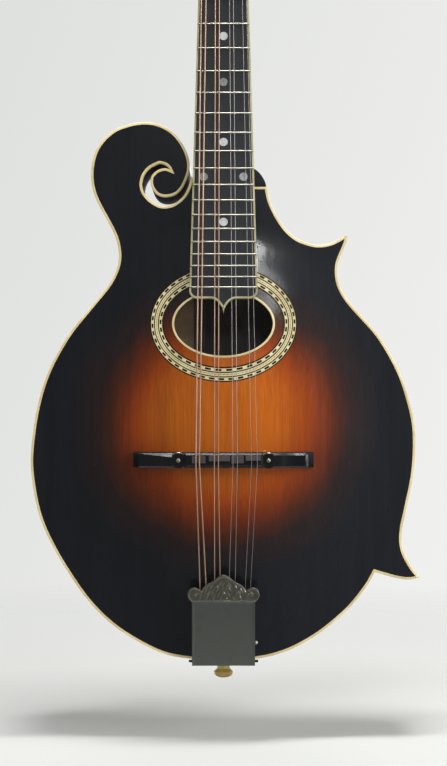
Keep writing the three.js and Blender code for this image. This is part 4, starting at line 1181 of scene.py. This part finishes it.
# The end pin as radius and height
PIN_HEAD = [(3.2, 0.0), (4.9, 0.7), (5.8, 1.9), (6.15, 3.2)]
PIN_WAIST = [(6.15, 3.7), (5.2, 4.7), (4.3, 5.6), (3.95, 6.8), (3.9, 9.0)]
PIN_STEM = [(3.9, 14.2), (3.2, 34.0), (0.0, 34.0)]


def hump(offset, half):
    """The share of its height that a bead has at an offset from its middle."""
    return max(0.0, 1 - abs(offset) / half)


def leaf_relief(x, z):
    """Height of the leaves stamped into the crown, from 0 to 1, in the cover's frame."""
    total = 0.0
    for cx, cz, size in SCROLLS:
        dx, dz = abs(x) - cx, z - cz
        radius = math.hypot(dx, dz)
        if radius < size:
            wave = math.cos(math.atan2(dz, dx) - 3.0 * math.log(radius + 0.3))
            total = max(total, max(0.0, wave) * (1 - radius / size) ** 0.35)
    if total < 0.05 and abs(x) < 15.5:
        dx, dz = abs(x) - VEIN_CENTRE[0], z - VEIN_CENTRE[1]
        far, along = math.hypot(dx, dz), math.atan2(dz, dx)
        vein = max(0.0, math.cos(far * 3.0 + 1.4 * math.sin(along * 5)))
        broken = 0.5 + 0.5 * math.sin(along * 15 + far * 1.7)
        total = vein ** 2 * (0.25 + 0.6 * broken)
    return total


def cover_depth(x, z, gap):
    """The depth of the cover's front at a place that is a gap away from its edge."""
    height = 0.5 * hump(z - RIDGE, 0.9)
    if z > RIDGE + 1.2:
        height += 0.5 * leaf_relief(x, z) * min(1.0, gap) + 0.4 * hump(gap - 0.7, 0.5)
    elif z < RIDGE:
        height += 0.5 * hump(COVER_HALF - abs(x) - BEAD, BEAD)
    return COVER_FRONT - 0.65 * min(height, 1.1)


def tailpiece():
    outline = smooth(cap_outline("tailpiece_cover", COVER), COVER_CORNERS, 0.5)
    crown, plate = inner_grid([outline], *CROWN_GRID), inner_grid([outline], *PLATE_GRID)
    beads = [(side * (COVER_HALF - d), z) for side in (-1, 1) for d in (BEAD, BEAD + 0.5)
             for z in np.arange(0.6, RIDGE - 0.6, 1.1)]
    points = np.vstack([crown[crown[:, 1] > RIDGE - 1.5], plate[plate[:, 1] < RIDGE - 2.0], beads])
    spots, faces = fill([outline], points)
    gaps = distance_to(outline, spots)
    skin = Skin()
    skin.add([(x, cover_depth(x, z, gap), z) for (x, z), gap in zip(spots, gaps)], faces,
             [int(spots[face, 1].max() > RIDGE + 0.6) for face in faces])
    wall(skin, outline, COVER_FRONT, COVER_BACK)
    sheet(skin, [outline], COVER_BACK, turned_over=True)
    thickness, front, back, top = SIDE_WALL
    for side in (-1, 1):
        left, right = sorted((side * COVER_HALF, side * (COVER_HALF - thickness)))
        box(skin, (left, front, 0.0), (right, back, top))
        tube(skin, [(side * 19.5, *SIDE_PIN), (side * 22.0, *SIDE_PIN)], 0.8, 16, 2)
    turned(skin, [(0.0, -1.2), (1.0, -0.8), (1.3, 0.0), (1.0, 0.8), (0.0, 1.2)], 16,
           Matrix.Translation(SIDE_SCREW) @ FORWARDS, 3)
    finishes = [COVER_METAL, CROWN_METAL, BLACK_LINE, NICKEL]
    cover = skin.make("tailpiece_cover_fine", finishes, COVER, "tailpiece_cover_body", 50,
                      solid=False)
    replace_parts(cover, "tailpiece_cover")
    paint("tailpiece_base", NICKEL)

    skin = Skin()
    turned(skin, [(0.0, 0.0), *curve(PIN_HEAD, 0.3), *curve(PIN_WAIST, 0.35), *PIN_STEM], 48)
    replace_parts(skin.make("endpin_fine", AGED), "endpin")


# The strings, the four wound ones first

STRING_NAMES = ("g_1", "g_2", "d_1", "d_2", "a_1", "a_2", "e_1", "e_2")
STRING_RADII = (0.44, 0.44, 0.31, 0.31, 0.19, 0.19, 0.15, 0.15)
AT_NUT = (-13.5, -10.4, -5.1, -2.5, 3.4, 5.8, 10.9, 13.4)
AT_SADDLE = (-17.2, -15, -5.7, -3.2, 5.9, 8.7, 17.5, 21.1)
AT_TAIL = (-13.9, -9.4, -5.5, -1.6, 2.6, 6.8, 12.4, 15.6)
# Depth and height of the strings' hooks, and how far they run in front of the board's plane
HOOK = (-31.5, 34.3)
SADDLE_LIFT = 3.55
SLOT_LIFT = 1.45
COIL_START = -4.0
COIL_STEP = 1.3
COIL_TURNS = 2.75


def strings():
    for i, (name, radius) in enumerate(zip(STRING_NAMES, STRING_RADII)):
        wound = i < 4
        side, order, start = (-1, i, 0.0) if wound else (1, 7 - i, math.pi)
        wrap = POST_RADIUS + 0.1 + radius
        path = [Vector((AT_TAIL[i], HOOK[0] - radius, HOOK[1])),
                NECK @ Vector((AT_SADDLE[i], -SADDLE_LIFT - radius, 0)),
                NECK @ Vector((AT_NUT[i], -SLOT_LIFT - radius, SCALE)),
                NECK @ Vector((AT_NUT[i], -NUT_LIFT - radius, SCALE + NUT_LENGTH - 1.5))]
        for turn in np.linspace(0, COIL_TURNS, 61):
            angle = start - side * turn * 2 * math.pi
            level = COIL_START - order * COIL_STEP + turn * 2 * radius * 1.05
            path.append(HEAD @ Vector((side * TUNER_OFFSET + wrap * math.cos(angle), level,
                                       TUNER_HEIGHTS[order] + wrap * math.sin(angle))))
        skin = Skin()
        tube(skin, path, radius, 12)
        piece = skin.make(f"string_{name}_fine", BRONZE if wound else STEEL,
                          sharp=60)
        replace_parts(piece, f"string_{name}")


# The stage, the light and the camera, in metres

FLOOR = -0.036
FLOOR_HALF = 0.9
FLOOR_TONE = linear(203, 204, 201)
SHADE = linear(222, 224, 221)
BRIGHT = linear(242, 242, 240)
MIRRORED = (0.96, 0.99, 1.04, 1.0)
WORLD_TONE = (1.0, 1.0, 1.0, 1.0)
WORLD_LIGHT = 0.33
AIM = (0.0, -0.02, 0.2)
SHOULDER = (0.03, -0.02, 0.28)
# Each lamp's name, place, aim, size and power
LAMPS = [("overhead", (0.06, -0.16, 1.5), AIM, (0.55, 0.16), 19),
         ("right_softbox", (1.15, -1.0, 0.6), AIM, (0.8, 1.2), 18),
         ("left_fill", (-1.4, -0.7, 0.5), AIM, (0.6, 1.0), 6),
         ("back_fill", (0.0, 1.4, 0.9), AIM, (1.4, 1.0), 6),
         ("window", (0.084, -1.3, 0.625), SHOULDER, (0.022, 0.15), 0.85),
         ("window_side", (0.19, -1.3, 0.65), SHOULDER, (0.2, 0.04), 0.24)]
LENS = 80.9
CAMERA = (0.0, -1.125, 0.1919)


def stage():
    """A pale floor that fades out into the backdrop."""
    mesh = bpy.data.meshes.new("floor")
    corners = [(x * FLOOR_HALF, y * FLOOR_HALF, FLOOR) for x, y in ((-1, -1), (1, -1), (1, 1), (-1, 1))]
    mesh.from_pydata(corners, [], [(0, 1, 2, 3)])
    floor = placed("floor", mesh)
    f = material("pale_floor")
    mesh.materials.append(f.set(Base_Color=(*FLOOR_TONE, 1.0), Roughness=0.9, Specular_IOR_Level=0.0))
    far = f.node("ShaderNodeVectorMath", {"operation": "LENGTH"}, Vector=f.place).outputs["Value"]
    fading = f.math("MAXIMUM", f.between(far, 0.3, 0.85), f.between(f.axis("Y"), -0.12, -0.24))
    clear = f.node("ShaderNodeBsdfTransparent").outputs[0]
    f.feed(f.tree.nodes["Material Output"].inputs["Surface"], f.shaders(f.shader.outputs[0], clear, fading))


def studio():
    """The world: a pale backdrop for what the camera sees, dim behind the camera for what is glossy."""
    w = Nodes(bpy.data.worlds.new("studio"), "Background", "Generated")
    bpy.context.scene.world = w.set(Color=WORLD_TONE, Strength=WORLD_LIGHT)
    x, y, z = w.axis("X"), w.axis("Y"), w.axis("Z")
    brighter = w.math("ADD", w.between(x, -0.13, 0.13, 0.0, 0.6), w.between(z, -0.2, 0.22, 0.4, 0.0))
    backdrop = w.node("ShaderNodeBackground", Color=w.mix(SHADE, BRIGHT, brighter))
    level = w.math("ADD", w.between(y, -0.9, 0.6, 0.16, 0.8), w.between(x, 0.0, 0.5, 0.0, 0.14))
    level = w.math("ADD", level, w.between(z, 0.25, 0.9, 0.0, 0.5))
    mirrored = w.node("ShaderNodeBackground", Color=MIRRORED, Strength=level)
    ray = w.node("ShaderNodeLightPath").outputs
    lit = w.shaders(w.shader.outputs[0], mirrored.outputs[0], ray["Is Glossy Ray"])
    seen = w.math("ADD", ray["Is Camera Ray"], ray["Is Transmission Ray"])
    w.feed(w.tree.nodes["World Output"].inputs["Surface"], w.shaders(lit, backdrop.outputs[0], seen))


def lights():
    for name, place, aim, size, power in LAMPS:
        data = bpy.data.lights.new(name, "AREA")
        data.shape = "RECTANGLE"
        data.size, data.size_y = size
        data.energy = power
        lamp = placed(name, data)
        lamp.location = place
        lamp.rotation_mode = "QUATERNION"
        lamp.rotation_quaternion = (Vector(aim) - Vector(place)).to_track_quat("-Z", "Y")


def camera():
    data = bpy.data.cameras.new("camera")
    data.lens = LENS
    data.clip_start = 0.05
    eye = placed("camera", data)
    eye.location = CAMERA
    eye.rotation_euler = (math.pi / 2, 0.0, 0.0)
    bpy.context.scene.camera = eye
    bpy.context.scene.view_settings.view_transform = "Standard"


camera()
body()
rosette()
label()
inside()
fingerboard()
neck()
headstock()
tuners()
bridge()
tailpiece()
strings()
stage()
studio()
lights()
